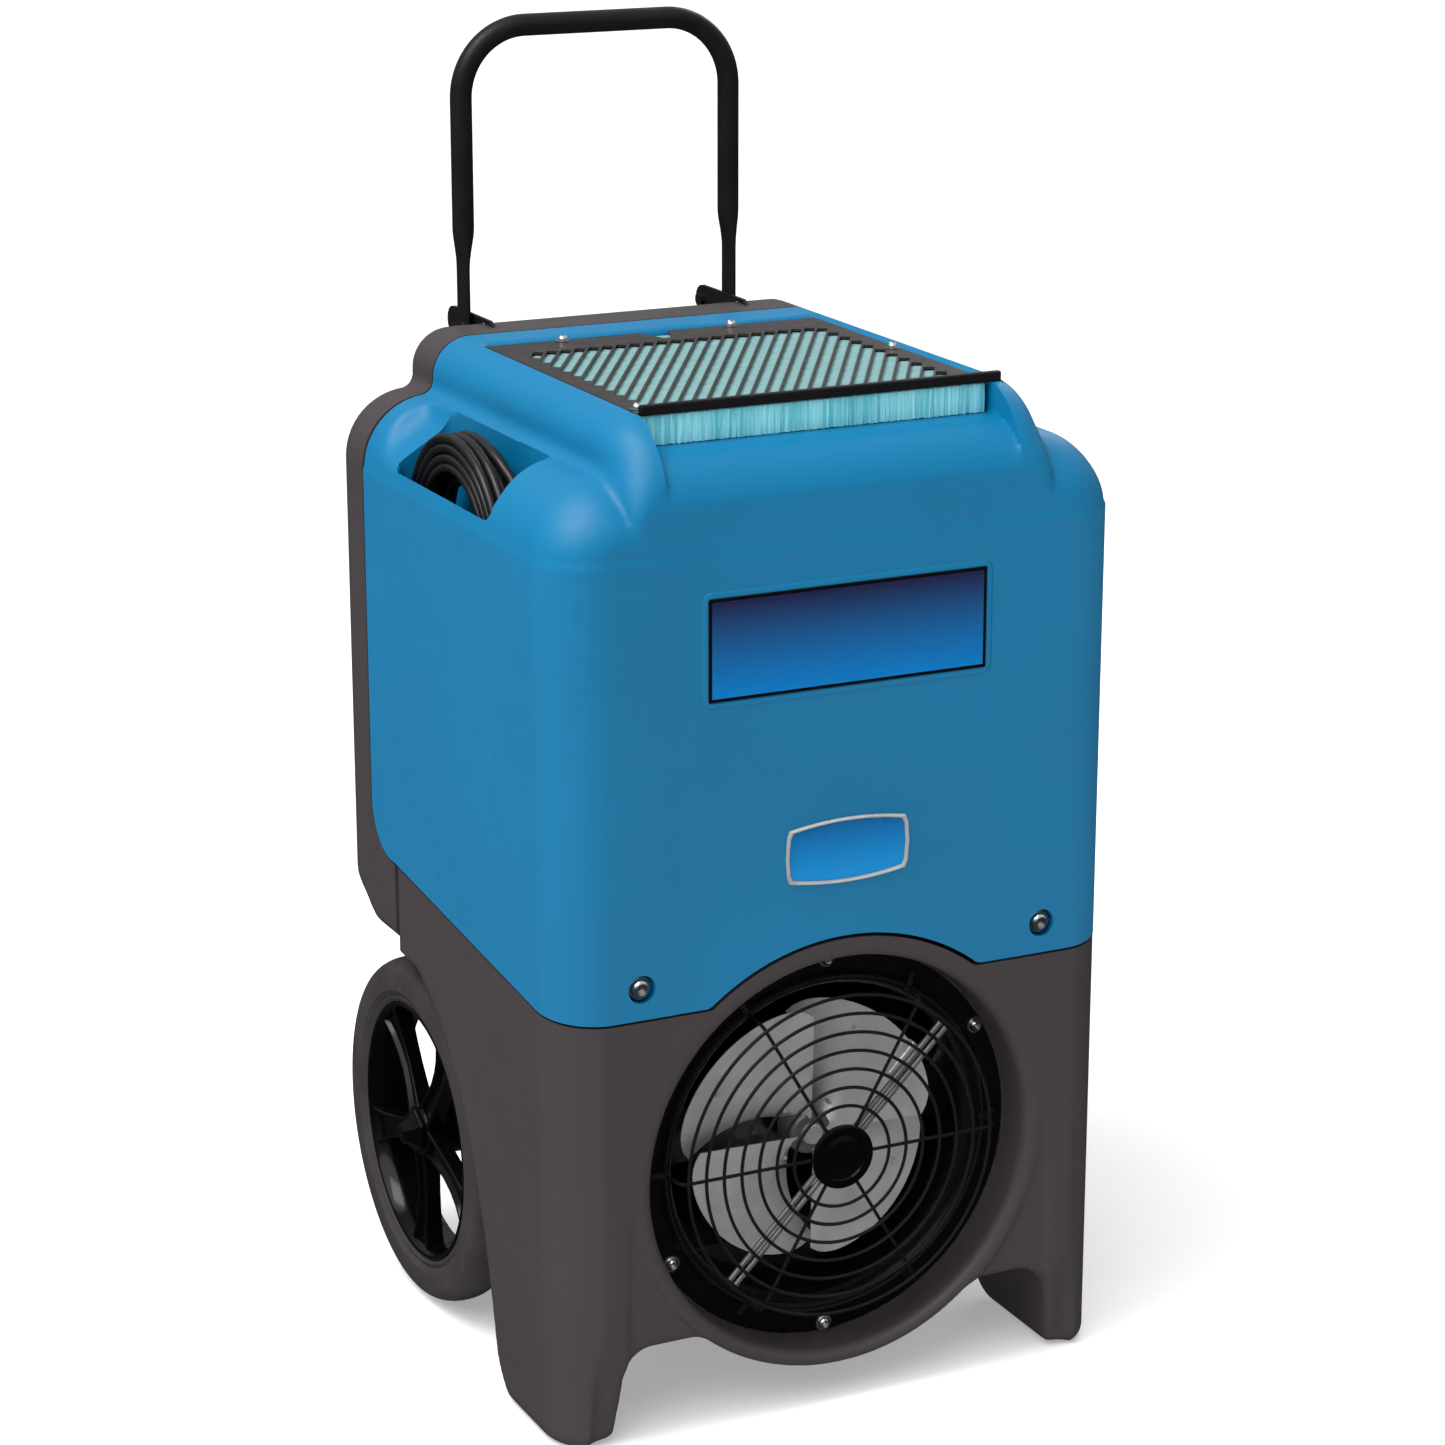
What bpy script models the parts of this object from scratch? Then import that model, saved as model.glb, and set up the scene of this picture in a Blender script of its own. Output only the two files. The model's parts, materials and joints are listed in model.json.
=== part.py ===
"""Commercial dehumidifier on two wheels, with a folding handle, as separate named pieces.

Metres, +Z up, front towards -Y. The origin is on the floor under the middle of the object.
Places are given as (x, depth, z), where depth is the distance behind the front face.
"""

import math

import bmesh
import bpy
from mathutils import Matrix, Vector

# Overall sizes
WIDTH = 0.508
DEPTH = 0.534
BODY_TOP = 0.850
HANDLE_TOP = 1.110
HALF_WIDTH = WIDTH / 2
FRONT_Y = -DEPTH / 2

# Moulded shells
GAP = 0.0003
WALL = 0.0055
CORNER_R = 0.050
SHOULDER_Z = 0.803
SHOULDER_R = 0.060
TOWER_HALF = 0.187
TOWER_R = 0.035
TOWER_FRONT_R = 0.085
HOOD_END = 0.406
REAR_FACE = 0.495
RECESS_FACE = 0.4685
RECESS_HALF = 0.163
RECESS_LOW = 0.500
REAR_TOP_R = 0.018
REAR_LOW = 0.335
REAR_START = 0.354
SEAM_FRONT_Z = 0.370
SEAM_SLOPE = 0.10
HOOD_CORNER_R = 0.045
UNDERSIDE_Z = 0.082
TUB_HALF = 0.180
TUB_LOW = 0.100
TUB_END = 0.460
LEG_INNER = 0.195
LEG_DEPTH = 0.141
FOOT_R = 0.018

# Fan
FAN_Z = 0.220
FAN_DEPTH = 0.070
OPENING_R = 0.1756
OPENING_INNER_R = 0.1708
OPENING_DEPTH = 0.0388
BARREL_R = 0.1925
BELLY_R = 0.187
BARREL_DEPTH = 0.125
LEDGE_R = 0.158
SHROUD_THROAT_R = 0.137
SCREW_CIRCLE_R = 0.163
GUARD_RINGS = 7
GUARD_PITCH = 0.016
GUARD_FIRST_R = 0.044
GUARD_WIRE_R = 0.0015
GUARD_DEPTH = 0.0045
SPOKES = 6
BLADES = 4
BLADE_R = 0.115
BLADE_SWEEP = math.radians(80)

# Filter, grille and pockets
GRILLE_HALF = 0.156
GRILLE_FRONT = 0.063
GRILLE_REAR = 0.367
GRILLE_LOW = 0.8452
GRILLE_THICK = 0.002
SLOT_PITCH = 0.01275
SLOT_WIDTH = 0.0088
SLOT_LEAN = math.radians(31)
FILTER_LOW = 0.8205
POCKET_OUTER = 0.248
POCKET_INNER = 0.187
POCKET_FRONT = 0.1285
POCKET_REAR = 0.3395
POCKET_FLOOR = 0.605
POCKET_SILL = 0.755

# Wheels
WHEEL_DEPTH = 0.358
WHEEL_Z = 0.154
TYRE_R = 0.154
TYRE_INNER_R = 0.116
TYRE_IN = 0.197
TYRE_OUT = 0.247
AXLE_R = 0.0079
WHEEL_SPOKES = 5

# Handle
HANDLE_HALF = 0.1275
HANDLE_R = 0.0095
HANDLE_BEND_R = 0.060
HANDLE_DEPTH = 0.482
PIVOT_Z = 0.838
FLAT_TOP_Z = 0.893
ROUND_FROM_Z = 0.930
EYE_R = 0.0115
EYE_HALF_THICK = 0.004
BOLT_R = 0.0040
BRACKET_IN = 0.1202
BRACKET_OUT = 0.1232
BRACKET_END_R = 0.013

# Power cord
CORD_R = 0.00425
CORD_PITCH = 0.0086
COIL_X = -0.2265
COIL_DEPTH = 0.234
COIL_COLUMNS = 4
COIL_LAYERS = 4
COIL_OUTER_R = 0.1003
COIL_INNER_R = COIL_OUTER_R - COIL_LAYERS * CORD_PITCH
COIL_Z = POCKET_FLOOR + GAP + COIL_OUTER_R
LEAD_X = COIL_X + COIL_COLUMNS * CORD_PITCH / 2 + GAP + CORD_R
LEAD_DEPTH = COIL_DEPTH - COIL_OUTER_R + CORD_R
TAIL_R = COIL_INNER_R - 0.0018 - CORD_R
TAIL_BEND_R = 0.040
TAIL_STRAIGHT = 0.003
PLUG_DROP = 0.0420

# Control panel on the rear
PANEL_HALF = 0.090
PANEL_LOW = 0.655
PANEL_HIGH = 0.765
KEY_SPACING = 0.040
KEY_Z = 0.682

BLUE = ("housing_blue", (0.0, 0.190, 0.405), 0.42, 0.0)
GREY = ("housing_grey", (0.070, 0.062, 0.066), 0.55, 0.0)
BLACK = ("black_plastic", (0.012, 0.012, 0.014), 0.35, 0.0)
BLACK_STEEL = ("black_steel", (0.015, 0.015, 0.016), 0.38, 0.0)
ZINC = ("zinc_steel", (0.62, 0.62, 0.62), 0.28, 1.0)
ALUMINIUM = ("aluminium", (0.72, 0.72, 0.73), 0.32, 1.0)
COPPER = ("copper", (0.62, 0.26, 0.14), 0.30, 1.0)
RUBBER = ("rubber", (0.030, 0.028, 0.030), 0.75, 0.0)
LABEL = ("label_blue", (0.010, 0.045, 0.190), 0.30, 0.0)
MEDIA = ("filter_media", (0.12, 0.45, 0.50), 0.90, 0.0)
LENS = ("dark_lens", (0.01, 0.02, 0.02), 0.10, 0.0)
KEY = ("key_grey", (0.25, 0.26, 0.28), 0.60, 0.0)
FRAME_GREY = ("grille_grey", (0.045, 0.043, 0.043), 0.50, 0.0)


# ---------------------------------------------------------------- helpers


def spot(x, depth, z):
    """A place given by its distance behind the front face, as a world position."""
    return Vector((x, FRONT_Y + depth, z))


def new_collection(name):
    found = bpy.data.collections.new(name)
    bpy.context.scene.collection.children.link(found)
    return found


def material(spec):
    name, colour, roughness, metallic = spec
    found = bpy.data.materials.get(name)
    if found:
        return found
    made = bpy.data.materials.new(name)
    made.use_nodes = True
    shader = made.node_tree.nodes["Principled BSDF"]
    shader.inputs["Base Color"].default_value = (*colour, 1.0)
    shader.inputs["Roughness"].default_value = roughness
    shader.inputs["Metallic"].default_value = metallic
    return made


def add_object(name, data, collection, location=(0, 0, 0)):
    obj = bpy.data.objects.new(name, data)
    obj.location = location
    collection.objects.link(obj)
    return obj


def mesh_object(name, bm, location=(0, 0, 0)):
    """An object among the helpers; finish() turns it into a node."""
    mesh = bpy.data.meshes.new(name)
    bm.to_mesh(mesh)
    bm.free()
    obj = add_object(name, mesh, HELPERS, location)
    obj.hide_render = True
    obj.display_type = "WIRE"
    return obj


def finish(obj, spec, smooth=True):
    """Makes a helper one of the object's own pieces, with its material."""
    HELPERS.objects.unlink(obj)
    PARTS.objects.link(obj)
    obj.hide_render = False
    obj.display_type = "TEXTURED"
    obj.data.materials.clear()
    obj.data.materials.append(material(spec))
    if smooth and obj.type == "MESH":
        obj.data.shade_smooth()
        obj.data.set_sharp_from_angle(angle=math.radians(35))
    return obj


def edge_key(edge):
    """Which edge of a box this is, such as 'x-z+' for the top left edge."""
    first, second = (vert.co for vert in edge.verts)
    key = ""
    for index, axis in enumerate("xyz"):
        if first[index] * second[index] > 0:
            key += axis + ("+" if first[index] > 0 else "-")
    return key


def box(name, low, high, radii=None, segments=4):
    """A box between two (x, depth, z) corners. radii gives a radius for each named edge, or for all."""
    low = spot(*low)
    high = spot(*high)
    size = high - low
    bm = bmesh.new()
    bmesh.ops.create_cube(bm, size=1.0, matrix=Matrix.Diagonal((*size, 1.0)))
    if radii:
        largest = max(radii.values())
        weights = bm.edges.layers.float.new("bevel_weight_edge")
        for edge in bm.edges:
            radius = radii.get(edge_key(edge), radii.get("all", 0.0))
            edge[weights] = radius / largest
    obj = mesh_object(name, bm, (low + high) / 2)
    if radii:
        bevel = obj.modifiers.new("rounded_edges", "BEVEL")
        bevel.limit_method = "WEIGHT"
        bevel.width = largest
        bevel.segments = segments
    return obj


def turn_to(axis):
    """The rotation that takes +Z to this axis letter."""
    return {"x": (0, math.pi / 2, 0), "y": (-math.pi / 2, 0, 0), "z": (0, 0, 0)}[axis]


def cylinder(name, axis, centre, radius, length, sides=32, radius_end=None):
    """A cylinder or cone about a world axis, with its middle at (x, depth, z)."""
    bm = bmesh.new()
    end = radius if radius_end is None else radius_end
    bmesh.ops.create_cone(
        bm, cap_ends=True, segments=sides, radius1=radius, radius2=end, depth=length
    )
    obj = mesh_object(name, bm, spot(*centre))
    obj.rotation_euler = turn_to(axis)
    return obj


def turned(name, axis, centre, profile, steps=32, closed=False):
    """A turned shape: profile is (radius, height) points, top to bottom down the outer side."""
    bm = bmesh.new()
    verts = [bm.verts.new((radius, 0.0, height)) for radius, height in profile]
    for first, second in zip(verts, verts[1:]):
        bm.edges.new((first, second))
    if closed:
        bm.edges.new((verts[-1], verts[0]))
    obj = mesh_object(name, bm, spot(*centre))
    obj.rotation_euler = turn_to(axis)
    screw = obj.modifiers.new("turned", "SCREW")
    screw.angle = 2 * math.pi
    screw.steps = steps
    screw.render_steps = steps
    screw.use_merge_vertices = True
    screw.merge_threshold = 0.00001
    return obj


def prism(name, axis, outline, low, high):
    """A flat outline drawn across an axis and pulled along it from low to high.

    For axis x the outline holds (depth, z) points, for axis y (x, z), for axis z (x, depth).
    """
    bm = bmesh.new()
    verts = []
    for first, second in outline:
        if axis == "x":
            place = spot(low, first, second)
        elif axis == "y":
            place = spot(first, low, second)
        else:
            place = spot(first, second, low)
        verts.append(bm.verts.new(place))
    face = bm.faces.new(verts)
    pulled = bmesh.ops.extrude_face_region(bm, geom=[face])
    way = Vector([float(axis == letter) for letter in "xyz"]) * (high - low)
    moved = [item for item in pulled["geom"] if isinstance(item, bmesh.types.BMVert)]
    bmesh.ops.translate(bm, verts=moved, vec=way)
    bmesh.ops.recalc_face_normals(bm, faces=bm.faces)
    return mesh_object(name, bm)


def arc(centre, radius, start, end, count):
    """Points on an arc in degrees, both ends included."""
    points = []
    for index in range(count + 1):
        angle = math.radians(start + (end - start) * index / count)
        points.append(
            (
                centre[0] + radius * math.cos(angle),
                centre[1] + radius * math.sin(angle),
            )
        )
    return points


def rod(name, points, radius, cyclic=False, resolution=2, smooth=False):
    """A round rod or wire through (x, depth, z) points."""
    curve = bpy.data.curves.new(name, "CURVE")
    curve.dimensions = "3D"
    curve.bevel_depth = radius
    curve.bevel_resolution = resolution
    curve.use_fill_caps = True
    spline = curve.splines.new("POLY")
    spline.points.add(len(points) - 1)
    for point, place in zip(spline.points, points):
        point.co = (*spot(*place), 1.0)
    spline.use_cyclic_u = cyclic
    spline.use_smooth = smooth
    obj = add_object(name, curve, HELPERS)
    obj.hide_render = True
    return obj


def as_mesh(obj):
    """A curve object made a closed mesh, which a Boolean can take."""
    bpy.context.view_layer.update()
    graph = bpy.context.evaluated_depsgraph_get()
    mesh = bpy.data.meshes.new_from_object(obj.evaluated_get(graph))
    bm = bmesh.new()
    bm.from_mesh(mesh)
    bmesh.ops.remove_doubles(bm, verts=bm.verts, dist=0.00001)
    bmesh.ops.recalc_face_normals(bm, faces=bm.faces)
    name = obj.name
    bpy.data.meshes.remove(mesh)
    bpy.data.objects.remove(obj)
    return mesh_object(name, bm)


def boolean(obj, other, operation):
    found = obj.modifiers.new(operation.lower() + "_" + other.name, "BOOLEAN")
    found.operation = operation
    found.solver = "EXACT"
    found.object = other
    return obj


def join(obj, *others):
    for other in others:
        boolean(obj, other, "UNION")
    return obj


def cut(obj, *others):
    for other in others:
        boolean(obj, other, "DIFFERENCE")
    return obj


def keep_inside(obj, other):
    return boolean(obj, other, "INTERSECT")


def all_at_once(obj, operation, others):
    """One Boolean with many helpers, which is more exact than one after another."""
    group = bpy.data.collections.new(obj.name + "_" + operation.lower())
    HELPERS.children.link(group)
    for other in others:
        HELPERS.objects.unlink(other)
        group.objects.link(other)
    found = obj.modifiers.new(operation.lower() + "_group", "BOOLEAN")
    found.operation = operation
    found.solver = "EXACT"
    found.operand_type = "COLLECTION"
    found.collection = group
    return obj


# ---------------------------------------------------------------- moulded shells


def seam_z(depth):
    """Height of the sloping joint between the upper and the base housing."""
    return SEAM_FRONT_Z + SEAM_SLOPE * depth


def half_space(name, above):
    """Everything above the seam, or below it, as a prism across the whole width."""
    far = 1.2 if above else -0.3
    step = -GAP / 2 if above else GAP / 2
    start, end = -0.1, 0.7
    outline = [
        (start, seam_z(start) + step),
        (end, seam_z(end) + step),
        (end, far),
        (start, far),
    ]
    return prism(name, "x", outline, -0.4, 0.4)


def pocket_box(name, side, grow):
    """The cord or hose pocket on one side, grown by the thickness of its walls."""
    inner = side * (POCKET_INNER - grow)
    outer = side * (POCKET_OUTER + grow * 0.2)
    return box(
        name,
        (min(inner, outer), POCKET_FRONT - grow, POCKET_FLOOR - grow),
        (max(inner, outer), POCKET_REAR + grow, 1.0),
    )


def hood_end_outline(offset):
    """Side outline of everything behind the hood: upright joint and its rounded lower corner."""
    edge = HOOD_END + offset
    low = seam_z(REAR_START)
    corner = (edge - HOOD_CORNER_R, low + HOOD_CORNER_R)
    bend = arc(corner, HOOD_CORNER_R, -90, 0, 6)
    start = [(REAR_START, low - 0.2), (REAR_START, low)]
    return start + bend + [(edge, 1.2), (0.7, 1.2), (0.7, low - 0.2)]


def hood_interior():
    """The space inside the upper housing, which leaves the pocket walls standing."""
    space = box(
        "hood_interior",
        (-HALF_WIDTH + WALL, WALL, 0.1),
        (HALF_WIDTH - WALL, 0.7, SHOULDER_Z - WALL),
        {
            "x-y-": CORNER_R - WALL,
            "x+y-": CORNER_R - WALL,
            "x-z+": SHOULDER_R - WALL,
            "x+z+": SHOULDER_R - WALL,
            "y-z+": SHOULDER_R - WALL,
        },
    )
    tower = box(
        "tower_interior",
        (-TOWER_HALF + WALL, 0.010, 0.5),
        (TOWER_HALF - WALL, 0.7, FILTER_LOW - WALL),
        {"y-z+": 0.070},
    )
    join(space, tower)
    cut(space, pocket_box("left_pocket_walls", -1, WALL))
    return cut(space, pocket_box("right_pocket_walls", 1, WALL))


def top_openings():
    """The valley in front of the grille, the filter's seat and the air way under it."""
    floor = FILTER_LOW - GAP
    valley = box("valley", (-GRILLE_HALF, -0.1, floor), (GRILLE_HALF, GRILLE_FRONT, 1.0))
    rebate = box(
        "grille_rebate",
        (-GRILLE_HALF - 0.0005, GRILLE_FRONT - 0.001, GRILLE_LOW - GAP),
        (GRILLE_HALF + 0.0005, GRILLE_REAR + 0.0005, 1.0),
    )
    seat = box(
        "filter_seat",
        (-0.1535, GRILLE_FRONT - 0.002, floor),
        (0.1535, GRILLE_REAR - 0.004, 1.0),
    )
    air_way = box("air_way", (-0.140, 0.082, 0.79), (0.140, 0.345, 0.9))
    bar_notch = box("bar_notch", (0.15, 0.0555, 0.8435), (0.1675, 0.0655, 1.0))
    return [valley, rebate, seat, air_way, bar_notch]


def front_details():
    """Recesses for the label, the badge and the two bolts."""
    label = box("label_recess", (-0.1245, -0.01, 0.6245), (0.1245, 0.002, 0.7095))
    badge = prism("badge_recess", "y", badge_outline(0.0005), -0.01, 0.0015)
    dimples = [
        cylinder("dimple_" + name, "y", (side * 0.1825, -0.004, 0.397), 0.012, 0.020, 20)
        for name, side in (("left", -1), ("right", 1))
    ]
    return [label, badge] + dimples


def side_pockets():
    """The cord pocket, the hose pocket, and the lowered sill of each."""
    helpers = []
    for name, side in (("left", -1), ("right", 1)):
        helpers.append(pocket_box(name + "_pocket", side, 0.0))
        low, high = sorted((side * 0.30, side * (POCKET_INNER + 0.001)))
        helpers.append(box(name + "_sill", (low, 0.137, POCKET_SILL), (high, 0.3355, 1.01)))
    return helpers


def make_upper_housing():
    hood = box(
        "upper_housing",
        (-HALF_WIDTH, 0.0, 0.2),
        (HALF_WIDTH, 0.55, SHOULDER_Z),
        {
            "x-y-": CORNER_R,
            "x+y-": CORNER_R,
            "x-z+": SHOULDER_R,
            "x+z+": SHOULDER_R,
            "y-z+": SHOULDER_R,
        },
        segments=5,
    )
    tower = box(
        "hood_tower",
        (-TOWER_HALF, 0.0, 0.55),
        (TOWER_HALF, 0.55, BODY_TOP),
        {"x-z+": TOWER_R, "x+z+": TOWER_R, "y-z+": TOWER_FRONT_R},
        segments=6,
    )
    join(hood, tower)
    arch = cylinder("hood_arch", "y", (0, 0.05, FAN_Z), BARREL_R + GAP * 2, 0.30, 72)
    behind = prism("behind_hood", "x", hood_end_outline(0.0), -0.4, 0.4)
    gland_hole = cylinder("gland_hole", "z", (LEAD_X, LEAD_DEPTH, POCKET_FLOOR), 0.0064, 0.03, 16)
    under = half_space("under_hood", above=False)
    cutters = [hood_interior(), under, arch, behind, gland_hole]
    all_at_once(hood, "DIFFERENCE", cutters + side_pockets() + top_openings() + front_details())
    return finish(hood, BLUE)


def rear_outside():
    """The rear housing as a solid block with its tower."""
    shell = box(
        "rear_housing",
        (-HALF_WIDTH, 0.30, REAR_LOW),
        (HALF_WIDTH, REAR_FACE, SHOULDER_Z),
        {
            "x-y+": 0.058,
            "x+y+": 0.058,
            "x-z+": SHOULDER_R,
            "x+z+": SHOULDER_R,
            "y+z+": 0.040,
            "y+z-": 0.030,
        },
        segments=5,
    )
    recess = box(
        "handle_recess",
        (-RECESS_HALF, RECESS_FACE, RECESS_LOW),
        (RECESS_HALF, 0.7, 1.0),
    )
    tower = box(
        "rear_tower",
        (-TOWER_HALF, 0.30, 0.70),
        (TOWER_HALF, RECESS_FACE, BODY_TOP),
        {"x-z+": TOWER_R, "x+z+": TOWER_R, "y+z+": REAR_TOP_R},
        segments=6,
    )
    cut(shell, recess)
    join(shell, tower)
    return shell


def rear_insides():
    """Cutters for the space inside the rear housing."""
    inside = box(
        "rear_interior",
        (-HALF_WIDTH + WALL, 0.2, REAR_LOW + WALL),
        (HALF_WIDTH - WALL, REAR_FACE - WALL, SHOULDER_Z - WALL),
        {
            "x-y+": 0.052,
            "x+y+": 0.052,
            "x-z+": SHOULDER_R - WALL,
            "x+z+": SHOULDER_R - WALL,
            "y+z+": 0.034,
        },
    )
    kept_wall = box(
        "recess_wall",
        (-RECESS_HALF - WALL, RECESS_FACE - WALL, RECESS_LOW - WALL),
        (RECESS_HALF + WALL, 0.7, 1.0),
    )
    cut(inside, kept_wall)
    tower_inside = box(
        "rear_tower_interior",
        (-TOWER_HALF + WALL, 0.2, 0.60),
        (TOWER_HALF - WALL, RECESS_FACE - WALL - 0.001, BODY_TOP - WALL),
        {"x-z+": TOWER_R - WALL, "x+z+": TOWER_R - WALL},
    )
    floor_hole = box("rear_floor_hole", (-0.170, 0.2, 0.30), (0.170, 0.452, 0.36))
    return [inside, tower_inside, floor_hole]


def make_rear_housing():
    shell = rear_outside()
    cutters = rear_insides()
    before_joint = prism("before_joint", "x", before_joint_outline(), -0.4, 0.4)
    key_reach = KEY_SPACING + 0.009
    trough = box("key_trough", (-key_reach, 0.4665, KEY_Z - 0.006), (key_reach, 0.6, KEY_Z + 0.006))
    all_at_once(shell, "DIFFERENCE", cutters + [trough, before_joint])
    return finish(shell, GREY)


def before_joint_outline():
    """Side outline of what lies in front of the rear housing, a gap outside the hood."""
    edge = HOOD_END + GAP
    low = seam_z(REAR_START) - GAP * 2
    corner = (edge - HOOD_CORNER_R, low + HOOD_CORNER_R)
    bend = arc(corner, HOOD_CORNER_R, -90, 0, 6)
    return [(REAR_START, 0.1), (REAR_START, low)] + bend + [(edge, 1.2), (0.0, 1.2), (0.0, 0.1)]


def arch_outline():
    """Side outline of the base: front leg, wheel arch and the joint with the rear housing."""
    foot, crown = (LEG_DEPTH, 0.0), (REAR_START - GAP, 0.326)
    reach, lean = (0.166, 0.165), (0.232, 0.326)
    curve = []
    for step in range(10):
        t = step / 9
        weights = ((1 - t) ** 3, 3 * t * (1 - t) ** 2, 3 * t * t * (1 - t), t**3)
        knots = (foot, reach, lean, crown)
        curve.append(tuple(sum(w * k[i] for w, k in zip(weights, knots)) for i in (0, 1)))
    return [(0.0, 0.0)] + curve + [(REAR_START - GAP, 0.5), (0.0, 0.5)]


def base_interior():
    """The space inside the base: fan chamber, machine room above the arches and the tub."""
    space = box("base_interior", (-0.1745, 0.112, 0.106), (0.1745, 0.4545, 0.7))
    chamber = box("fan_chamber", (-0.2485, 0.045, 0.106), (0.2485, 0.114, 0.7))
    over_arches = box("over_arches", (-0.2485, 0.110, 0.333), (0.2485, 0.3475, 0.7))
    throat = cylinder("throat", "y", (0, 0.069, FAN_Z), LEDGE_R, 0.098, 64)
    return join(space, chamber, over_arches, throat)


def make_base_housing():
    base = prism("base_housing", "x", arch_outline(), -HALF_WIDTH, HALF_WIDTH)
    between_legs = box("between_legs", (-LEG_INNER, -0.1, -0.1), (LEG_INNER, 0.3, UNDERSIDE_Z))
    tub = box("rear_tub", (-TUB_HALF, 0.12, TUB_LOW), (TUB_HALF, TUB_END, REAR_LOW - GAP))
    all_at_once(base, "DIFFERENCE", [between_legs, half_space("over_base", above=True)])
    crown = cylinder("arch_crown", "y", (0, BARREL_DEPTH / 2, FAN_Z), BARREL_R, BARREL_DEPTH, 72)
    cut(crown, box("under_crown", (-0.3, -0.1, -0.1), (0.3, 0.3, 0.30)))
    belly = cylinder("belly_barrel", "y", (0, BARREL_DEPTH / 2, FAN_Z), BELLY_R, BARREL_DEPTH, 72)
    join(base, tub, crown, belly)
    envelope = box(
        "base_envelope",
        (-HALF_WIDTH, 0.0, 0.0),
        (HALF_WIDTH, 0.7, 0.7),
        {
            "x-y-": CORNER_R,
            "x+y-": CORNER_R,
            "x-z-": FOOT_R,
            "x+z-": FOOT_R,
            "y-z-": FOOT_R,
        },
        segments=5,
    )
    keep_inside(base, envelope)
    opening = cylinder(
        "fan_opening",
        "y",
        (0, OPENING_DEPTH / 2 - 0.005, FAN_Z),
        OPENING_R + 0.0006,
        OPENING_DEPTH + 0.010,
        72,
        radius_end=OPENING_INNER_R,
    )
    axle_hole = cylinder("axle_hole", "x", (0, WHEEL_DEPTH, WHEEL_Z), AXLE_R + GAP, 0.5, 20)
    drain_hole = cylinder("drain_hole", "y", (0.12, 0.46, 0.24), 0.0088, 0.05, 16)
    all_at_once(base, "DIFFERENCE", [base_interior(), opening, axle_hole, drain_hole])
    return finish(base, GREY)


# ---------------------------------------------------------------- top: grille and filter


def slot_outlines():
    """Slanted slots clipped to the grille's window, each as (x, depth) corners."""
    window_x, front, rear = 0.140, GRILLE_FRONT + 0.018, GRILLE_REAR - 0.040
    way = Vector((math.sin(SLOT_LEAN), math.cos(SLOT_LEAN)))
    across = Vector((way.y, -way.x)) * SLOT_WIDTH / 2
    middle = (front + rear) / 2
    slots = []
    count = 38
    for index in range(count):
        x = (index - (count - 1) / 2) * SLOT_PITCH
        limits = []
        for low, high, start, slope in (
            (-window_x, window_x, x, way.x),
            (front, rear, middle, way.y),
        ):
            ends = sorted(((low - start) / slope, (high - start) / slope))
            limits.append(ends)
        first = max(limits[0][0], limits[1][0])
        last = min(limits[0][1], limits[1][1])
        if last - first < 0.016:
            continue
        start = Vector((x, middle)) + way * (first + 0.003)
        end = Vector((x, middle)) + way * (last - 0.003)
        slots.append([start + across, end + across, end - across, start - across])
    return slots


def slot_cutters():
    """All the grille's slots as one helper mesh of separate blocks."""
    bm = bmesh.new()
    for outline in slot_outlines():
        verts = [bm.verts.new(spot(x, depth, GRILLE_LOW - 0.005)) for x, depth in outline]
        pulled = bmesh.ops.extrude_face_region(bm, geom=[bm.faces.new(verts)])
        moved = [item for item in pulled["geom"] if isinstance(item, bmesh.types.BMVert)]
        bmesh.ops.translate(bm, verts=moved, vec=(0, 0, 0.012))
    bmesh.ops.recalc_face_normals(bm, faces=bm.faces)
    return mesh_object("grille_slots", bm)


def make_grille():
    tab_depth = 0.030
    edge = [
        (-GRILLE_HALF, GRILLE_FRONT),
        (GRILLE_HALF, GRILLE_FRONT),
        (GRILLE_HALF, GRILLE_REAR),
        (0.014, GRILLE_REAR),
        (0.004, GRILLE_REAR - tab_depth),
        (-0.004, GRILLE_REAR - tab_depth),
        (-0.014, GRILLE_REAR),
        (-GRILLE_HALF, GRILLE_REAR),
    ]
    sheet = prism("intake_grille", "z", edge, GRILLE_LOW, GRILLE_LOW + GRILLE_THICK)
    finish(cut(sheet, slot_cutters()), FRAME_GREY, smooth=False)
    bar = box(
        "filter_retainer_bar",
        (-0.1545, 0.0565, 0.8452),
        (0.1665, 0.0622, 0.8540),
        {"all": 0.0015},
        segments=2,
    )
    finish(bar, BLACK_STEEL)
    for index, (x, depth) in enumerate(grille_screw_places(), 1):
        place = (x, depth, GRILLE_LOW + GRILLE_THICK + GAP)
        make_screw(f"grille_screw_{index}", "z", place, 0.0045, 0.0026)


def grille_screw_places():
    rear = GRILLE_REAR - 0.007
    return [(-0.088, rear), (0.071, rear), (-0.149, 0.075), (0.149, 0.210)]


def make_screw(name, axis, centre, radius, height, spec=ZINC):
    """A domed screw head standing on centre, its top along the axis."""
    profile = [
        (0.0, height),
        (radius * 0.55, height * 0.92),
        (radius * 0.9, height * 0.55),
        (radius, 0.0),
        (0.0, 0.0),
    ]
    return finish(turned(name, axis, centre, profile, steps=10), spec)


def make_filter():
    pad = box(
        "air_filter",
        (-0.1525, 0.0590, FILTER_LOW),
        (0.1525, 0.3600, GRILLE_LOW - 0.0007),
        {"all": 0.0015},
        segments=1,
    )
    finish(pad, MEDIA)


# ---------------------------------------------------------------- front: label, badge, bolts


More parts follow.
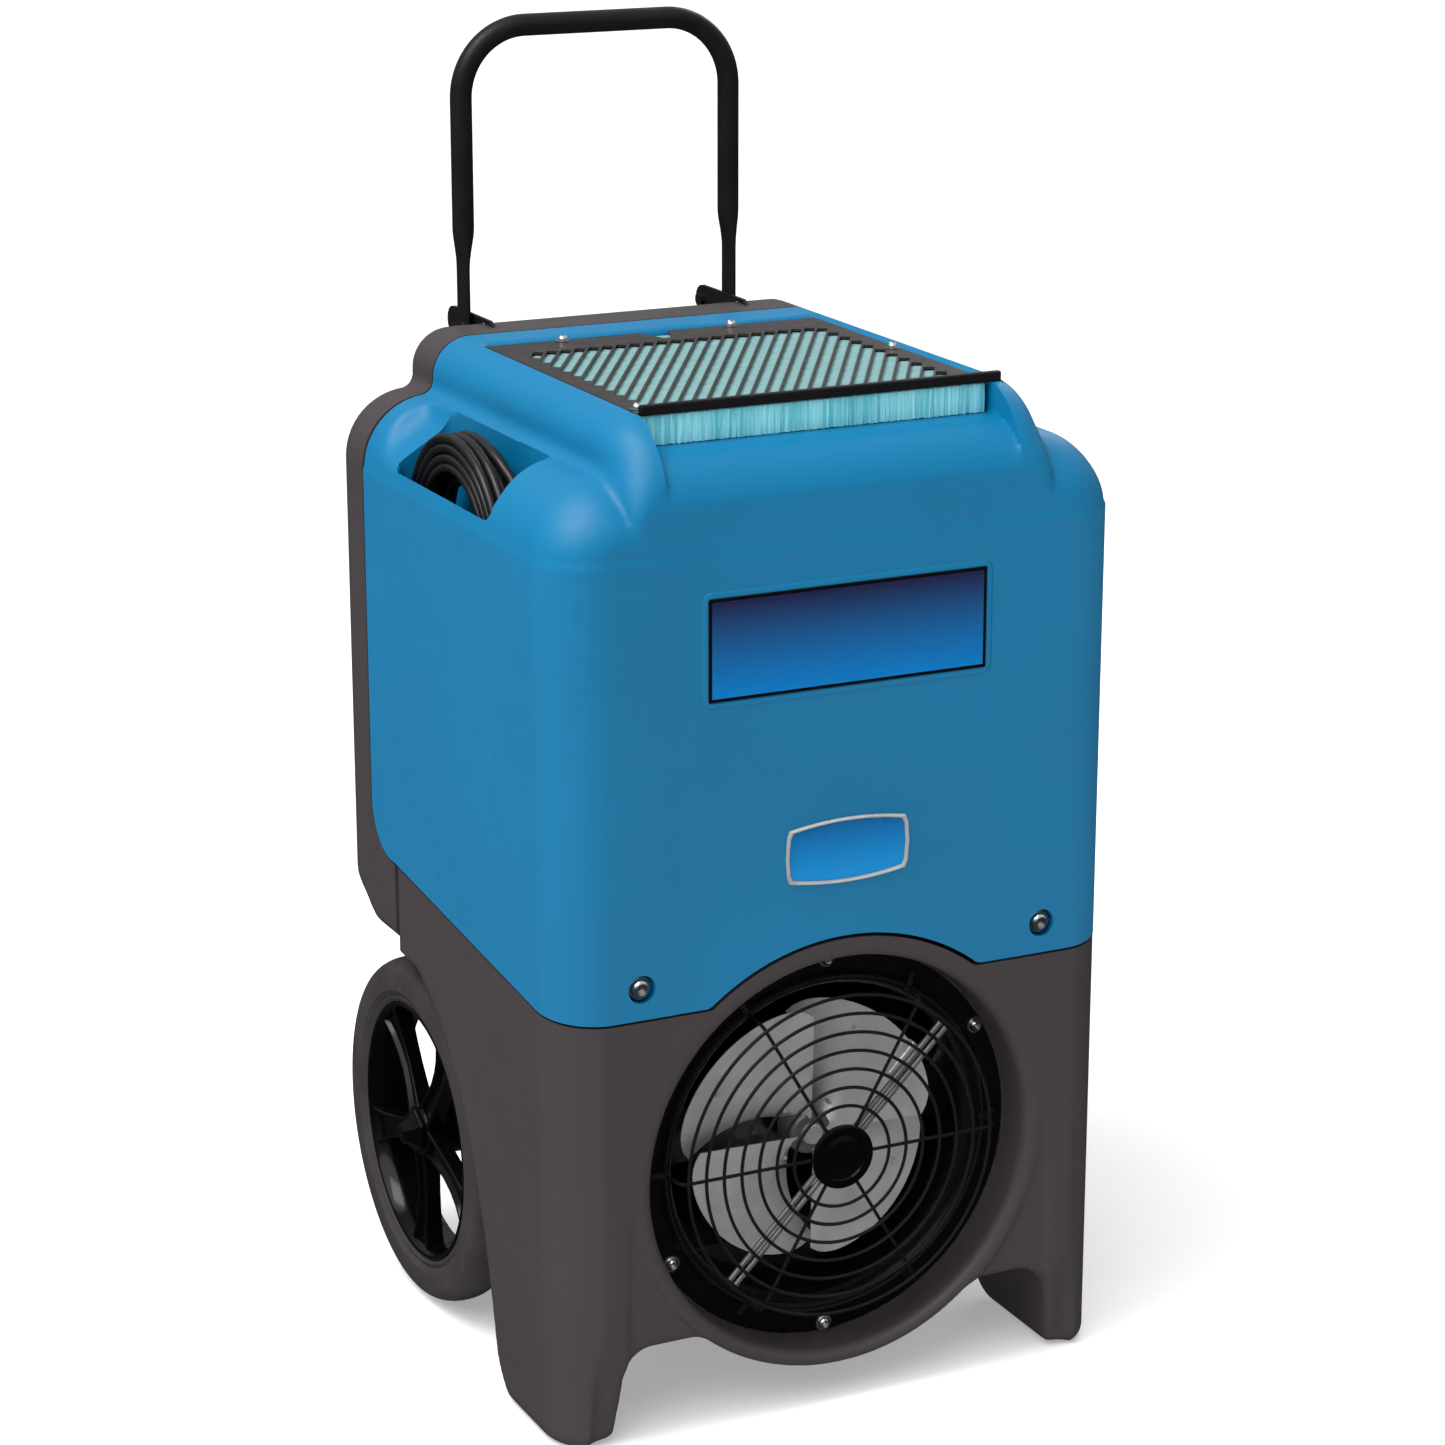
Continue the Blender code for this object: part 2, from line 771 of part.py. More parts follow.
def badge_outline(grow):
    """A barrel-shaped badge: straight sides that lean out, crowned top and bottom."""
    half, side, crown = 0.0555 + grow, 0.018, 0.027 + grow
    centre = 0.488
    top = [(half - 0.006 - i * (2 * half - 0.012) / 8, 0) for i in range(9)]
    top = [(x, centre + crown - 0.0055 * (x / half) ** 2) for x, _ in top]
    bottom = [(-x, 2 * centre - z) for x, z in top]
    return [(half, centre), (half - 0.003, centre + side)] + top + [
        (-half + 0.003, centre + side),
        (-half, centre),
        (-half + 0.003, centre - side),
    ] + bottom + [(half - 0.003, centre - side)]


def scaled(outline, factor):
    centre = 0.488
    return [(x * factor, centre + (z - centre) * factor) for x, z in outline]


def make_front_marks():
    label = box("label_plate", (-0.1238, 0.0003, 0.6252), (0.1238, 0.0017, 0.7088))
    finish(label, LABEL)
    ring = prism("badge_frame", "y", badge_outline(0.0), 0.0001, 0.0012)
    cut(ring, prism("badge_window", "y", scaled(badge_outline(0.0), 0.93), -0.01, 0.01))
    finish(ring, ZINC, smooth=False)
    plate = prism("badge_plate", "y", scaled(badge_outline(0.0), 0.922), 0.0004, 0.0011)
    finish(plate, LABEL, smooth=False)
    for name, side in (("left", -1), ("right", 1)):
        head = cylinder("housing_bolt_" + name, "y", (side * 0.1825, 0.0030, 0.397), 0.0078, 0.0050, 6)
        flange = cylinder("bolt_flange_" + name, "y", (side * 0.1825, 0.0048, 0.397), 0.0095, 0.0018, 20)
        join(head, flange)
        finish(head, ZINC, smooth=False)


# ---------------------------------------------------------------- fan


def make_shroud():
    """A moulded ring: a flat flange in the opening and a throat around the blades."""
    profile = [
        (OPENING_INNER_R - 0.0012, -0.0365),
        (OPENING_INNER_R - 0.0012, -0.0384),
        (0.1450, -0.0384),
        (SHROUD_THROAT_R + 0.0030, -0.0460),
        (SHROUD_THROAT_R + 0.0030, -0.1000),
        (SHROUD_THROAT_R, -0.1000),
        (SHROUD_THROAT_R, -0.0450),
        (0.1415, -0.0375),
        (0.1450, -0.0330),
        (0.1500, -0.0340),
        (0.1520, -0.0365),
    ]
    # The turned axis points to the front, so heights are minus the depth.
    obj = turned("fan_shroud", "y", (0, 0, FAN_Z), profile, steps=40, closed=True)
    obj.rotation_euler = (math.pi / 2, 0, 0)
    finish(obj, BLACK)
    for index, angle in enumerate((30, 90, 210, 270), 1):
        turn = math.radians(angle)
        x, z = SCREW_CIRCLE_R * math.cos(turn), FAN_Z + SCREW_CIRCLE_R * math.sin(turn)
        screw = make_screw(f"shroud_screw_{index}", "y", (x, 0.0362, z), 0.0052, 0.0030)
        screw.rotation_euler = (math.pi / 2, 0, 0)


def ring_points(radius, depth, count):
    turns = [2 * math.pi * i / count for i in range(count)]
    return [(radius * math.cos(t), depth, FAN_Z + radius * math.sin(t)) for t in turns]


def make_guard():
    """Concentric rings in front of six spokes, whose ends turn back to the shroud."""
    last = GUARD_FIRST_R + GUARD_PITCH * (GUARD_RINGS - 1)
    wires = bpy.data.collections.new("guard_wires")
    HELPERS.children.link(wires)
    behind = GUARD_DEPTH + GUARD_WIRE_R * 1.3
    for index in range(GUARD_RINGS):
        radius = GUARD_FIRST_R + index * GUARD_PITCH
        count = 16 + 2 * index
        wire = rod(f"guard_ring_{index}", ring_points(radius, GUARD_DEPTH, count), GUARD_WIRE_R, True, 0)
        move_to(as_mesh(wire), wires)
    for index in range(SPOKES):
        turn = 2 * math.pi * index / SPOKES
        way = (math.cos(turn), math.sin(turn))
        stops = [(0.022, behind), (last + 0.001, behind), (last + 0.006, 0.012), (last + 0.0075, 0.0330)]
        points = [(r * way[0], depth, FAN_Z + r * way[1]) for r, depth in stops]
        move_to(as_mesh(rod(f"guard_spoke_{index}", points, GUARD_WIRE_R, False, 1)), wires)
    hub = cylinder("fan_guard", "y", (0, behind, FAN_Z), 0.0262, 0.0026, 24)
    union = hub.modifiers.new("wires", "BOOLEAN")
    union.operation = "UNION"
    union.operand_type = "COLLECTION"
    union.collection = wires
    union.solver = "EXACT"
    finish(hub, BLACK_STEEL, smooth=False)
    face = GUARD_DEPTH + 0.0002
    profile = [(0.0, 0.0042), (0.010, 0.0040), (0.0185, 0.0026), (0.0195, 0.0012)]
    profile += [(0.0277, 0.0008), (0.0277, 0.0), (0.0, 0.0)]
    disc = turned("guard_disc", "y", (0, face, FAN_Z), profile, steps=24)
    disc.rotation_euler = (math.pi / 2, 0, 0)
    finish(disc, BLACK)


def move_to(obj, collection):
    HELPERS.objects.unlink(obj)
    collection.objects.link(obj)


def blade_mesh(name, start):
    """One wide, cambered blade as a thin curved sheet."""
    bm = bmesh.new()
    rows, columns = 4, 6
    grid = []
    for row in range(rows + 1):
        radius = 0.012 + (BLADE_R - 0.012) * row / rows
        line = []
        for column in range(columns + 1):
            share = column / columns
            spread = BLADE_SWEEP * (0.62 + 0.38 * min(1.0, row / 3))
            angle = start + spread * (share - 0.5)
            depth = FAN_DEPTH + 0.026 * (share - 0.5) - 0.006 * math.sin(math.pi * share)
            place = spot(radius * math.cos(angle), depth, FAN_Z + radius * math.sin(angle))
            line.append(bm.verts.new(place))
        grid.append(line)
    for row in range(rows):
        for column in range(columns):
            near, far = grid[row], grid[row + 1]
            bm.faces.new((near[column], near[column + 1], far[column + 1], far[column]))
    bmesh.ops.recalc_face_normals(bm, faces=bm.faces)
    obj = mesh_object(name, bm)
    thick = obj.modifiers.new("sheet", "SOLIDIFY")
    thick.thickness = 0.0016
    thick.offset = 0.0
    return obj


def make_fan():
    hub = cylinder("fan_blades", "y", (0, FAN_DEPTH, FAN_Z), 0.0200, 0.0300, 24)
    for index in range(BLADES):
        start = math.radians(40) + 2 * math.pi * index / BLADES
        join(hub, blade_mesh(f"blade_{index}", start))
    bore = cylinder("fan_bore", "y", (0, FAN_DEPTH + 0.010, FAN_Z), 0.0050, 0.0300, 16)
    finish(cut(hub, bore), ALUMINIUM)
    profile = [
        (0.0, -FAN_DEPTH + 0.0035),
        (0.0045, -FAN_DEPTH + 0.0035),
        (0.0045, -0.1090),
        (0.0400, -0.1100),
        (0.0560, -0.1160),
        (0.0560, -0.1750),
        (0.0480, -0.1850),
        (0.0, -0.1850),
    ]
    motor = turned("fan_motor", "y", (0, 0, FAN_Z), profile, steps=20)
    motor.rotation_euler = (math.pi / 2, 0, 0)
    finish(motor, BLACK_STEEL)
    low, high = (-0.150, 0.1003, FAN_Z - 0.025), (0.150, 0.1085, FAN_Z + 0.025)
    bar = box("motor_mount_bar", low, high, {"all": 0.002}, 1)
    cut(bar, cylinder("shaft_way", "y", (0, 0.1045, FAN_Z), 0.0150, 0.02, 20))
    finish(bar, ZINC)
    brace_angle = math.radians(45)
    brace = box("guard_brace_bar", (-0.1380, 0.0120, -0.006), (0.1380, 0.0180, 0.006), {"all": 0.0015}, 1)
    brace.location = spot(0, 0.0118, FAN_Z)
    brace.rotation_euler = (0, -brace_angle, 0)
    finish(brace, ZINC)


# ---------------------------------------------------------------- inside


def make_coils():
    """Finned coils across the air way, with the drain pan under them."""
    fronts = {"condenser_coil": 0.100, "evaporator_coil": 0.150, "heat_exchanger_core": 0.200}
    for name, front in fronts.items():
        block = box(name, (-0.140, front, 0.470), (0.140, front + 0.045, 0.785), {"all": 0.002}, 1)
        finish(block, ALUMINIUM)
    pan = box("drain_pan", (-0.150, 0.090, 0.4400), (0.150, 0.260, 0.4690))
    cut(pan, box("pan_hollow", (-0.148, 0.092, 0.4420), (0.148, 0.258, 0.6)))
    finish(pan, BLACK)


def make_refrigeration():
    profile = [
        (0.0, 0.250),
        (0.030, 0.246),
        (0.055, 0.228),
        (0.064, 0.205),
        (0.064, 0.030),
        (0.055, 0.010),
        (0.030, 0.0),
        (0.0, 0.0),
    ]
    finish(turned("compressor", "z", (-0.080, 0.375, 0.1875), profile, steps=20), BLACK_STEEL)
    bottle = [(0.0, 0.190), (0.012, 0.186), (0.026, 0.165), (0.026, 0.020), (0.012, 0.0), (0.0, 0.0)]
    finish(turned("accumulator", "z", (0.025, 0.415, 0.200), bottle, steps=14), COPPER)
    deck = box("equipment_deck", (-0.1740, 0.200, 0.1800), (0.1740, 0.4540, 0.1850))
    cut(deck, cylinder("motor_way", "y", (0, 0.20, FAN_Z), 0.066, 0.06, 24))
    finish(deck, ZINC, smooth=False)
    suction = [(0.025, 0.415, 0.3905)]
    suction += [(0.025, 0.415 + p[0], 0.56 + p[1]) for p in arc((-0.04, 0.0), 0.04, 0, 90, 6)]
    suction += [(0.025, 0.2455, 0.60)]
    finish(rod("suction_line", suction, 0.006), COPPER)
    discharge = [(-0.080, 0.375, 0.4380)]
    discharge += [(-0.080, 0.375 + p[0], 0.54 + p[1]) for p in arc((-0.04, 0.0), 0.04, 0, 90, 6)]
    discharge += [(-0.080, 0.2455, 0.58)]
    finish(rod("discharge_line", discharge, 0.004), COPPER)


def make_condensate():
    pump = box("condensate_pump", (0.060, 0.345, 0.1855), (0.160, 0.4400, 0.2900), {"all": 0.004}, 1)
    cut(pump, cylinder("pump_port", "y", (0.12, 0.44, 0.24), 0.0088, 0.02, 16))
    finish(pump, BLACK)
    profile = [
        (0.0040, 0.0500),
        (0.0070, 0.0460),
        (0.0050, 0.0420),
        (0.0070, 0.0400),
        (0.0050, 0.0360),
        (0.0120, 0.0355),
        (0.0120, 0.0255),
        (0.0085, 0.0250),
        (0.0085, 0.0000),
        (0.0040, 0.0000),
    ]
    fitting = turned("drain_fitting", "y", (0.12, 0.4350, 0.24), profile, steps=12, closed=True)
    finish(fitting, BLACK)


def make_controls():
    case = box("control_box", (-0.110, 0.4150, 0.630), (0.110, 0.4625, 0.780), {"all": 0.003}, 1)
    finish(case, ZINC)
    panel = box(
        "control_panel",
        (-PANEL_HALF, RECESS_FACE + GAP, PANEL_LOW),
        (PANEL_HALF, RECESS_FACE + 0.0030, PANEL_HIGH),
        {"x-z-": 0.006, "x+z-": 0.006, "x-z+": 0.006, "x+z+": 0.006},
        2,
    )
    for name, x in key_places():
        cut(panel, box("way_" + name, (x - 0.008, 0.46, KEY_Z - 0.005), (x + 0.008, 0.48, KEY_Z + 0.005)))
        key = box(
            name,
            (x - 0.0077, RECESS_FACE + 0.0008, KEY_Z - 0.0047),
            (x + 0.0077, RECESS_FACE + 0.0048, KEY_Z + 0.0047),
            {"all": 0.0008},
            1,
        )
        finish(key, KEY)
    finish(panel, BLACK)
    lens = box("display_lens", (-0.045, 0.4718, 0.715), (0.045, 0.4730, 0.745), {"all": 0.0004}, 1)
    finish(lens, LENS)


def key_places():
    return (("power_key", -KEY_SPACING), ("purge_key", 0.0), ("display_key", KEY_SPACING))


# ---------------------------------------------------------------- wheels


def make_wheel(name, side):
    """Tyre, spoked rim and hub cap. Heights run outwards along the axle."""
    centre = (0, WHEEL_DEPTH, WHEEL_Z)
    face = (0, side * math.pi / 2, 0)
    tread = [
        (TYRE_INNER_R, TYRE_OUT - 0.006),
        (0.1240, TYRE_OUT),
        (0.1400, TYRE_OUT - 0.0005),
        (0.1500, TYRE_OUT - 0.0070),
        (TYRE_R, TYRE_OUT - 0.0160),
        (TYRE_R, TYRE_IN + 0.0160),
        (0.1500, TYRE_IN + 0.0070),
        (0.1400, TYRE_IN),
        (0.1240, TYRE_IN),
        (TYRE_INNER_R, TYRE_IN + 0.006),
    ]
    tyre = turned("tyre_" + name, "x", centre, tread, steps=40, closed=True)
    tyre.rotation_euler = face
    finish(tyre, RUBBER)
    band = [
        (TYRE_INNER_R - GAP, 0.2410),
        (TYRE_INNER_R - GAP, 0.2030),
        (0.1060, 0.2030),
        (0.1020, 0.2220),
        (0.1080, 0.2410),
    ]
    rim = turned("rim_" + name, "x", centre, band, steps=40, closed=True)
    rim.rotation_euler = face
    hub = cylinder("hub_" + name, "x", (side * 0.2145, WHEEL_DEPTH, WHEEL_Z), 0.024, 0.045, 24)
    join(rim, hub)
    for index in range(WHEEL_SPOKES):
        angle = math.radians(-90) + 2 * math.pi * index / WHEEL_SPOKES
        spoke = box(f"spoke_{name}_{index}", (-0.009, -0.0145, 0.016), (0.009, 0.0145, 0.108))
        spoke.location = spot(side * 0.216, WHEEL_DEPTH, WHEEL_Z)
        spoke.location += 0.062 * Vector((0, math.cos(angle), math.sin(angle)))
        spoke.rotation_euler = (angle - math.pi / 2, 0, 0)
        join(rim, spoke)
    bore = cylinder("bore_" + name, "x", (side * 0.215, WHEEL_DEPTH, WHEEL_Z), AXLE_R + GAP, 0.08, 20)
    finish(cut(rim, bore), BLACK)
    cap = [(0.0, 0.2535), (0.0060, 0.2535), (0.0110, 0.2450)]
    cap += [(0.0200, 0.2415), (0.0200, 0.2374), (0.0, 0.2374)]
    cover = turned("hub_cap_" + name, "x", centre, cap, steps=24)
    cover.rotation_euler = face
    finish(cover, BLACK)


def make_wheels():
    make_wheel("left", -1)
    make_wheel("right", 1)
    axle = cylinder("axle", "x", (0, WHEEL_DEPTH, WHEEL_Z), AXLE_R, 0.474, 20)
    finish(axle, ZINC)


# ---------------------------------------------------------------- handle


def handle_points():
    """Centre line of the handle, from the left pivot over the top to the right pivot."""
    top = HANDLE_TOP - HANDLE_R
    high = top - HANDLE_BEND_R
    corner = HANDLE_HALF - HANDLE_BEND_R
    steps = [FLAT_TOP_Z + (ROUND_FROM_Z - FLAT_TOP_Z) * i / 5 for i in range(6)]
    left = [(-HANDLE_HALF, z) for z in [PIVOT_Z] + steps]
    bend = arc((-corner, high), HANDLE_BEND_R, 180, 90, 7)
    half = left + bend
    outline = half + [(-x, z) for x, z in reversed(half)]
    return [(x, HANDLE_DEPTH, z) for x, z in outline]


def flatten_ends(obj):
    """Presses the lower ends of the tube flat, as they are where the pivot bolts pass."""
    for vert in obj.data.vertices:
        share = (ROUND_FROM_Z - vert.co.z) / (ROUND_FROM_Z - FLAT_TOP_Z)
        share = min(1.0, max(0.0, share))
        share = share * share * (3 - 2 * share)
        centre_x = math.copysign(HANDLE_HALF, vert.co.x)
        centre_y = FRONT_Y + HANDLE_DEPTH
        narrow = 1 + share * (EYE_HALF_THICK / HANDLE_R - 1)
        wide = 1 + share * (EYE_R / HANDLE_R - 1)
        vert.co.x = centre_x + (vert.co.x - centre_x) * narrow
        vert.co.y = centre_y + (vert.co.y - centre_y) * wide


def make_handle():
    tube = as_mesh(rod("handle", handle_points(), HANDLE_R))
    flatten_ends(tube)
    for name, side in (("left", -1), ("right", 1)):
        place = (side * HANDLE_HALF, HANDLE_DEPTH, PIVOT_Z)
        join(tube, cylinder("eye_" + name, "x", place, EYE_R, EYE_HALF_THICK * 2, 24))
        cut(tube, cylinder("eye_hole_" + name, "x", place, BOLT_R + GAP, 0.03, 20))
    shift_origin(tube, spot(0, HANDLE_DEPTH, PIVOT_Z))
    finish(tube, BLACK_STEEL)


def shift_origin(obj, place):
    """Puts the object's origin on its joint's axis and leaves the shape where it is."""
    obj.data.transform(Matrix.Translation(-place))
    obj.location = place


def bracket_outline():
    """Side outline of a handle bracket: it hugs the housing's top rear edge and reaches back."""
    edge, top = RECESS_FACE + GAP, BODY_TOP + GAP
    corner = (RECESS_FACE - REAR_TOP_R, BODY_TOP - REAR_TOP_R)
    hug = arc(corner, REAR_TOP_R + GAP * 3, 0, 90, 5)
    end = (DEPTH - BRACKET_END_R, 0.8415)
    nose = arc(end, BRACKET_END_R, 90, -90, 8)
    lower = [(0.4980, 0.8220), (0.4820, 0.8160), (0.4740, 0.8050), (0.4740, 0.7780)]
    return [(0.430, top + 0.0006), (0.4370, 0.8545)] + nose + lower + [(edge + 0.0006, 0.7780)] + hug


def make_bracket(name, side):
    inner, outer = sorted((side * BRACKET_IN, side * BRACKET_OUT))
    plate = prism("handle_bracket_" + name, "x", bracket_outline(), inner, outer)
    near, far = sorted((side * 0.094, side * (BRACKET_IN + 0.001)))
    flange = box("flange_" + name, (near, RECESS_FACE + GAP * 3, 0.7780), (far, 0.4725, 0.8180))
    stud = cylinder("stud_" + name, "x", (side * 0.1192, 0.521, 0.8415), 0.0062, 0.006, 12)
    pivot = (side * 0.122, HANDLE_DEPTH, PIVOT_Z)
    hole = cylinder("pivot_hole_" + name, "x", pivot, BOLT_R + GAP, 0.02, 20)
    join(plate, flange, stud)
    finish(cut(plate, hole), BLACK_STEEL)
    shank = cylinder("pivot_bolt_" + name, "x", (side * 0.1260, HANDLE_DEPTH, PIVOT_Z), BOLT_R, 0.0190, 20)
    head = cylinder("bolt_head_" + name, "x", (side * 0.1340, HANDLE_DEPTH, PIVOT_Z), 0.0072, 0.0040, 6)
    nut = cylinder("bolt_nut_" + name, "x", (side * 0.1178, HANDLE_DEPTH, PIVOT_Z), 0.0072, 0.0040, 6)
    finish(join(shank, head, nut), ZINC)


# ---------------------------------------------------------------- power cord


def cord_place(x, across, up):
    """A place given relative to the middle of the coil."""
    return (x, COIL_DEPTH + across, COIL_Z + up)


def make_cord():
    gland = turned(
        "cord_gland",
        "z",
        (LEAD_X, LEAD_DEPTH, POCKET_FLOOR),
        [
            (0.0048, 0.0360),
            (0.0060, 0.0350),
            (0.0082, 0.0060),
            (0.0082, 0.0004),
            (0.0060, 0.0004),
            (0.0060, -0.0090),
            (0.0048, -0.0090),
        ],
        steps=16,
        closed=True,
    )
    finish(gland, BLACK)
    low = POCKET_FLOOR - 0.006
    rise = [low + (COIL_Z - low) * step / 5 for step in range(6)]
    finish(rod("cord_lead", [(LEAD_X, LEAD_DEPTH, z) for z in rise], CORD_R), RUBBER)
    half = COIL_COLUMNS * CORD_PITCH / 2
    bundle = turned(
        "cord_coil",
        "x",
        cord_place(COIL_X, 0, 0),
        [(COIL_OUTER_R, half), (COIL_OUTER_R, -half), (COIL_INNER_R, -half), (COIL_INNER_R, half)],
        steps=40,
        closed=True,
    )
    finish(bundle, RUBBER)
    bend = arc((TAIL_R - TAIL_BEND_R, TAIL_BEND_R - PLUG_DROP), TAIL_BEND_R, 0, -90, 6)
    end = TAIL_R - TAIL_BEND_R - TAIL_STRAIGHT
    route = [(TAIL_R, 0.0)] + bend + [(end, -PLUG_DROP)]
    finish(rod("cord_tail", [cord_place(COIL_X, a, u) for a, u in route], CORD_R), RUBBER)
    make_plug()


def make_plug():
    """Moulded plug with its blades pointing forwards, lying inside the coil."""
    back = TAIL_R - TAIL_BEND_R - TAIL_STRAIGHT - GAP
    low = cord_place(COIL_X - 0.0135, back - 0.040, -PLUG_DROP - 0.0120)
    high = cord_place(COIL_X + 0.0135, back, -PLUG_DROP + 0.0120)
    body = box("power_plug", low, high, {"all": 0.005}, 2)
    for index, (x, up) in enumerate(((-0.0063, 0.0022), (0.0063, 0.0022))):
        start = cord_place(COIL_X + x - 0.0008, back - 0.056, up - 0.003 - PLUG_DROP)
        end = cord_place(COIL_X + x + 0.0008, back - 0.038, up + 0.003 - PLUG_DROP)
        join(body, box(f"plug_blade_{index}", start, end))
    middle = cord_place(COIL_X, back - 0.047, -PLUG_DROP - 0.006)
    earth = cylinder("plug_earth", "y", middle, 0.0024, 0.018, 12)
    finish(join(body, earth), BLACK)


# ---------------------------------------------------------------- build


for leftover in list(bpy.data.objects):
    bpy.data.objects.remove(leftover)
PARTS = new_collection("dehumidifier")
HELPERS = new_collection("cutters")

make_upper_housing()
make_rear_housing()
make_base_housing()
make_grille()
make_filter()
make_front_marks()
make_shroud()
make_guard()
make_fan()
make_coils()
make_refrigeration()
make_condensate()
make_controls()
make_wheels()
make_handle()
make_bracket("left", -1)
make_bracket("right", 1)
make_cord()
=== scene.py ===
"""Looks of the commercial dehumidifier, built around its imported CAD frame.

The soft rotomoulded housings are distance functions of (x, depth, z), turned into smooth
meshes. Depth is the distance behind the front face. Everything is in metres.
"""

import json
import math

import bmesh
import bpy
import numpy as np
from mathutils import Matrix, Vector


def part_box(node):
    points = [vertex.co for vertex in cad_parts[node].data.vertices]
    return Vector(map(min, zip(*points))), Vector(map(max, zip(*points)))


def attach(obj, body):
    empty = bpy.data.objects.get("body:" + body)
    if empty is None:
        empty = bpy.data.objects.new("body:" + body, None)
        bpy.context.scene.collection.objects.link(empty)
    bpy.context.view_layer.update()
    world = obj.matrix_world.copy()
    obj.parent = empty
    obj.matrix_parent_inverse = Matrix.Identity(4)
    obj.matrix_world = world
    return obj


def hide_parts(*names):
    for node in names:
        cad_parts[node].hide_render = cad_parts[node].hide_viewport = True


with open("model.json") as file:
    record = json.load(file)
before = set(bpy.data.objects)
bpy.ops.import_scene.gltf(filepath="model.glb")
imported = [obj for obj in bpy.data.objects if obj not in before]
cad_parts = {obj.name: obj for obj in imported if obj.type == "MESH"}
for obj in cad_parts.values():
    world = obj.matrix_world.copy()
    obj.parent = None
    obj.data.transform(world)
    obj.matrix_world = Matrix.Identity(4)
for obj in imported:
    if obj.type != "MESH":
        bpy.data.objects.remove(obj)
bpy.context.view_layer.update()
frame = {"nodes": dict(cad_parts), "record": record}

FRONT_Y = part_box("upper_housing")[0].y
HALF_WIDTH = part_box("upper_housing")[1].x
CELL = 0.0038

# In cells: how near a crease a vertex is moved onto it, the longest move, and the welding distance
CREASE_REACH = 0.75
LONGEST_MOVE = 1.5
WELD_REACH = 0.30

# Housings
SHOULDER_Z = 0.803
SHOULDER_R = 0.060
TOWER_HALF = 0.1885
TOWER_TOP = 0.850
TOWER_SIDE_R = 0.034
TOWER_NOSE_R = 0.075
TOWER_BLEND = 0.011
STEP_Z = 0.7430
STEP_IN = 0.0012
POCKET_INNER = 0.1975
POCKET_REAR = 0.3395
HOOD_END = 0.406
REAR_START = 0.354
REAR_END = 0.495
REAR_LOW = 0.335
RECESS_DEPTH = 0.4685
BASE_END = 0.460
HOOD_CORNER_R = 0.045
SEAM_FRONT_Z = 0.370
SEAM_SLOPE = 0.10
SEAM_GAP = 0.0022
WALL = 2.6 * CELL
FAN_Z = 0.220
ARCH_R = 0.1925
BELLY_R = 0.187
BELLY_DEPTH = 0.125
WELL_HALF = 0.1566
WELL_FRONT = 0.063
WELL_REAR = 0.3678
FILTER_LOW = 0.8202
RIM_Z = 0.8455
WHEEL_DEPTH = 0.358
WHEEL_Z = 0.154


# ---------------- distance functions


def smooth(value):
    """0 below 0, 1 above 1, and an even change between."""
    t = np.clip(value, 0.0, 1.0)
    return t * t * (3 - 2 * t)


def both(a, b, r):
    """What lies in both shapes, with the edge between them rounded to radius r."""
    corner = np.hypot(np.maximum(a + r, 0), np.maximum(b + r, 0))
    return np.minimum(np.maximum(a, b), -r) + corner


def either(a, b, r):
    """What lies in either shape, with a fillet of radius r between them."""
    nearer = np.minimum(a, b)
    filled = np.maximum(nearer, r) - np.hypot(np.maximum(r - a, 0), np.maximum(r - b, 0))
    return np.where(nearer < -r, nearer, filled)


def without(a, b, r):
    """The first shape less the second, with the edge between them rounded."""
    return both(a, -b, r)


def block(x, d, z, low, high, r):
    """A box between two corners with rounded edges. None leaves a side open."""
    gaps = []
    for value, least, most in zip((x, d, z), low, high):
        least = -9.0 if least is None else least
        most = 9.0 if most is None else most
        gaps.append(np.abs(value - (least + most) / 2) - (most - least) / 2 + r)
    outside = np.sqrt(sum(np.maximum(g, 0) ** 2 for g in gaps))
    inside = np.minimum(np.maximum(np.maximum(gaps[0], gaps[1]), gaps[2]), 0)
    return outside + inside - r


def seam_z(d):
    return SEAM_FRONT_Z + SEAM_SLOPE * np.minimum(d, REAR_START)


# ---------------- meshes from distance functions


CORNERS = [(i, j, k) for i in (0, 1) for j in (0, 1) for k in (0, 1)]
CELL_EDGES = [
    (a, b)
    for a in CORNERS
    for b in CORNERS
    if a < b and sum(abs(p - q) for p, q in zip(a, b)) == 1
]


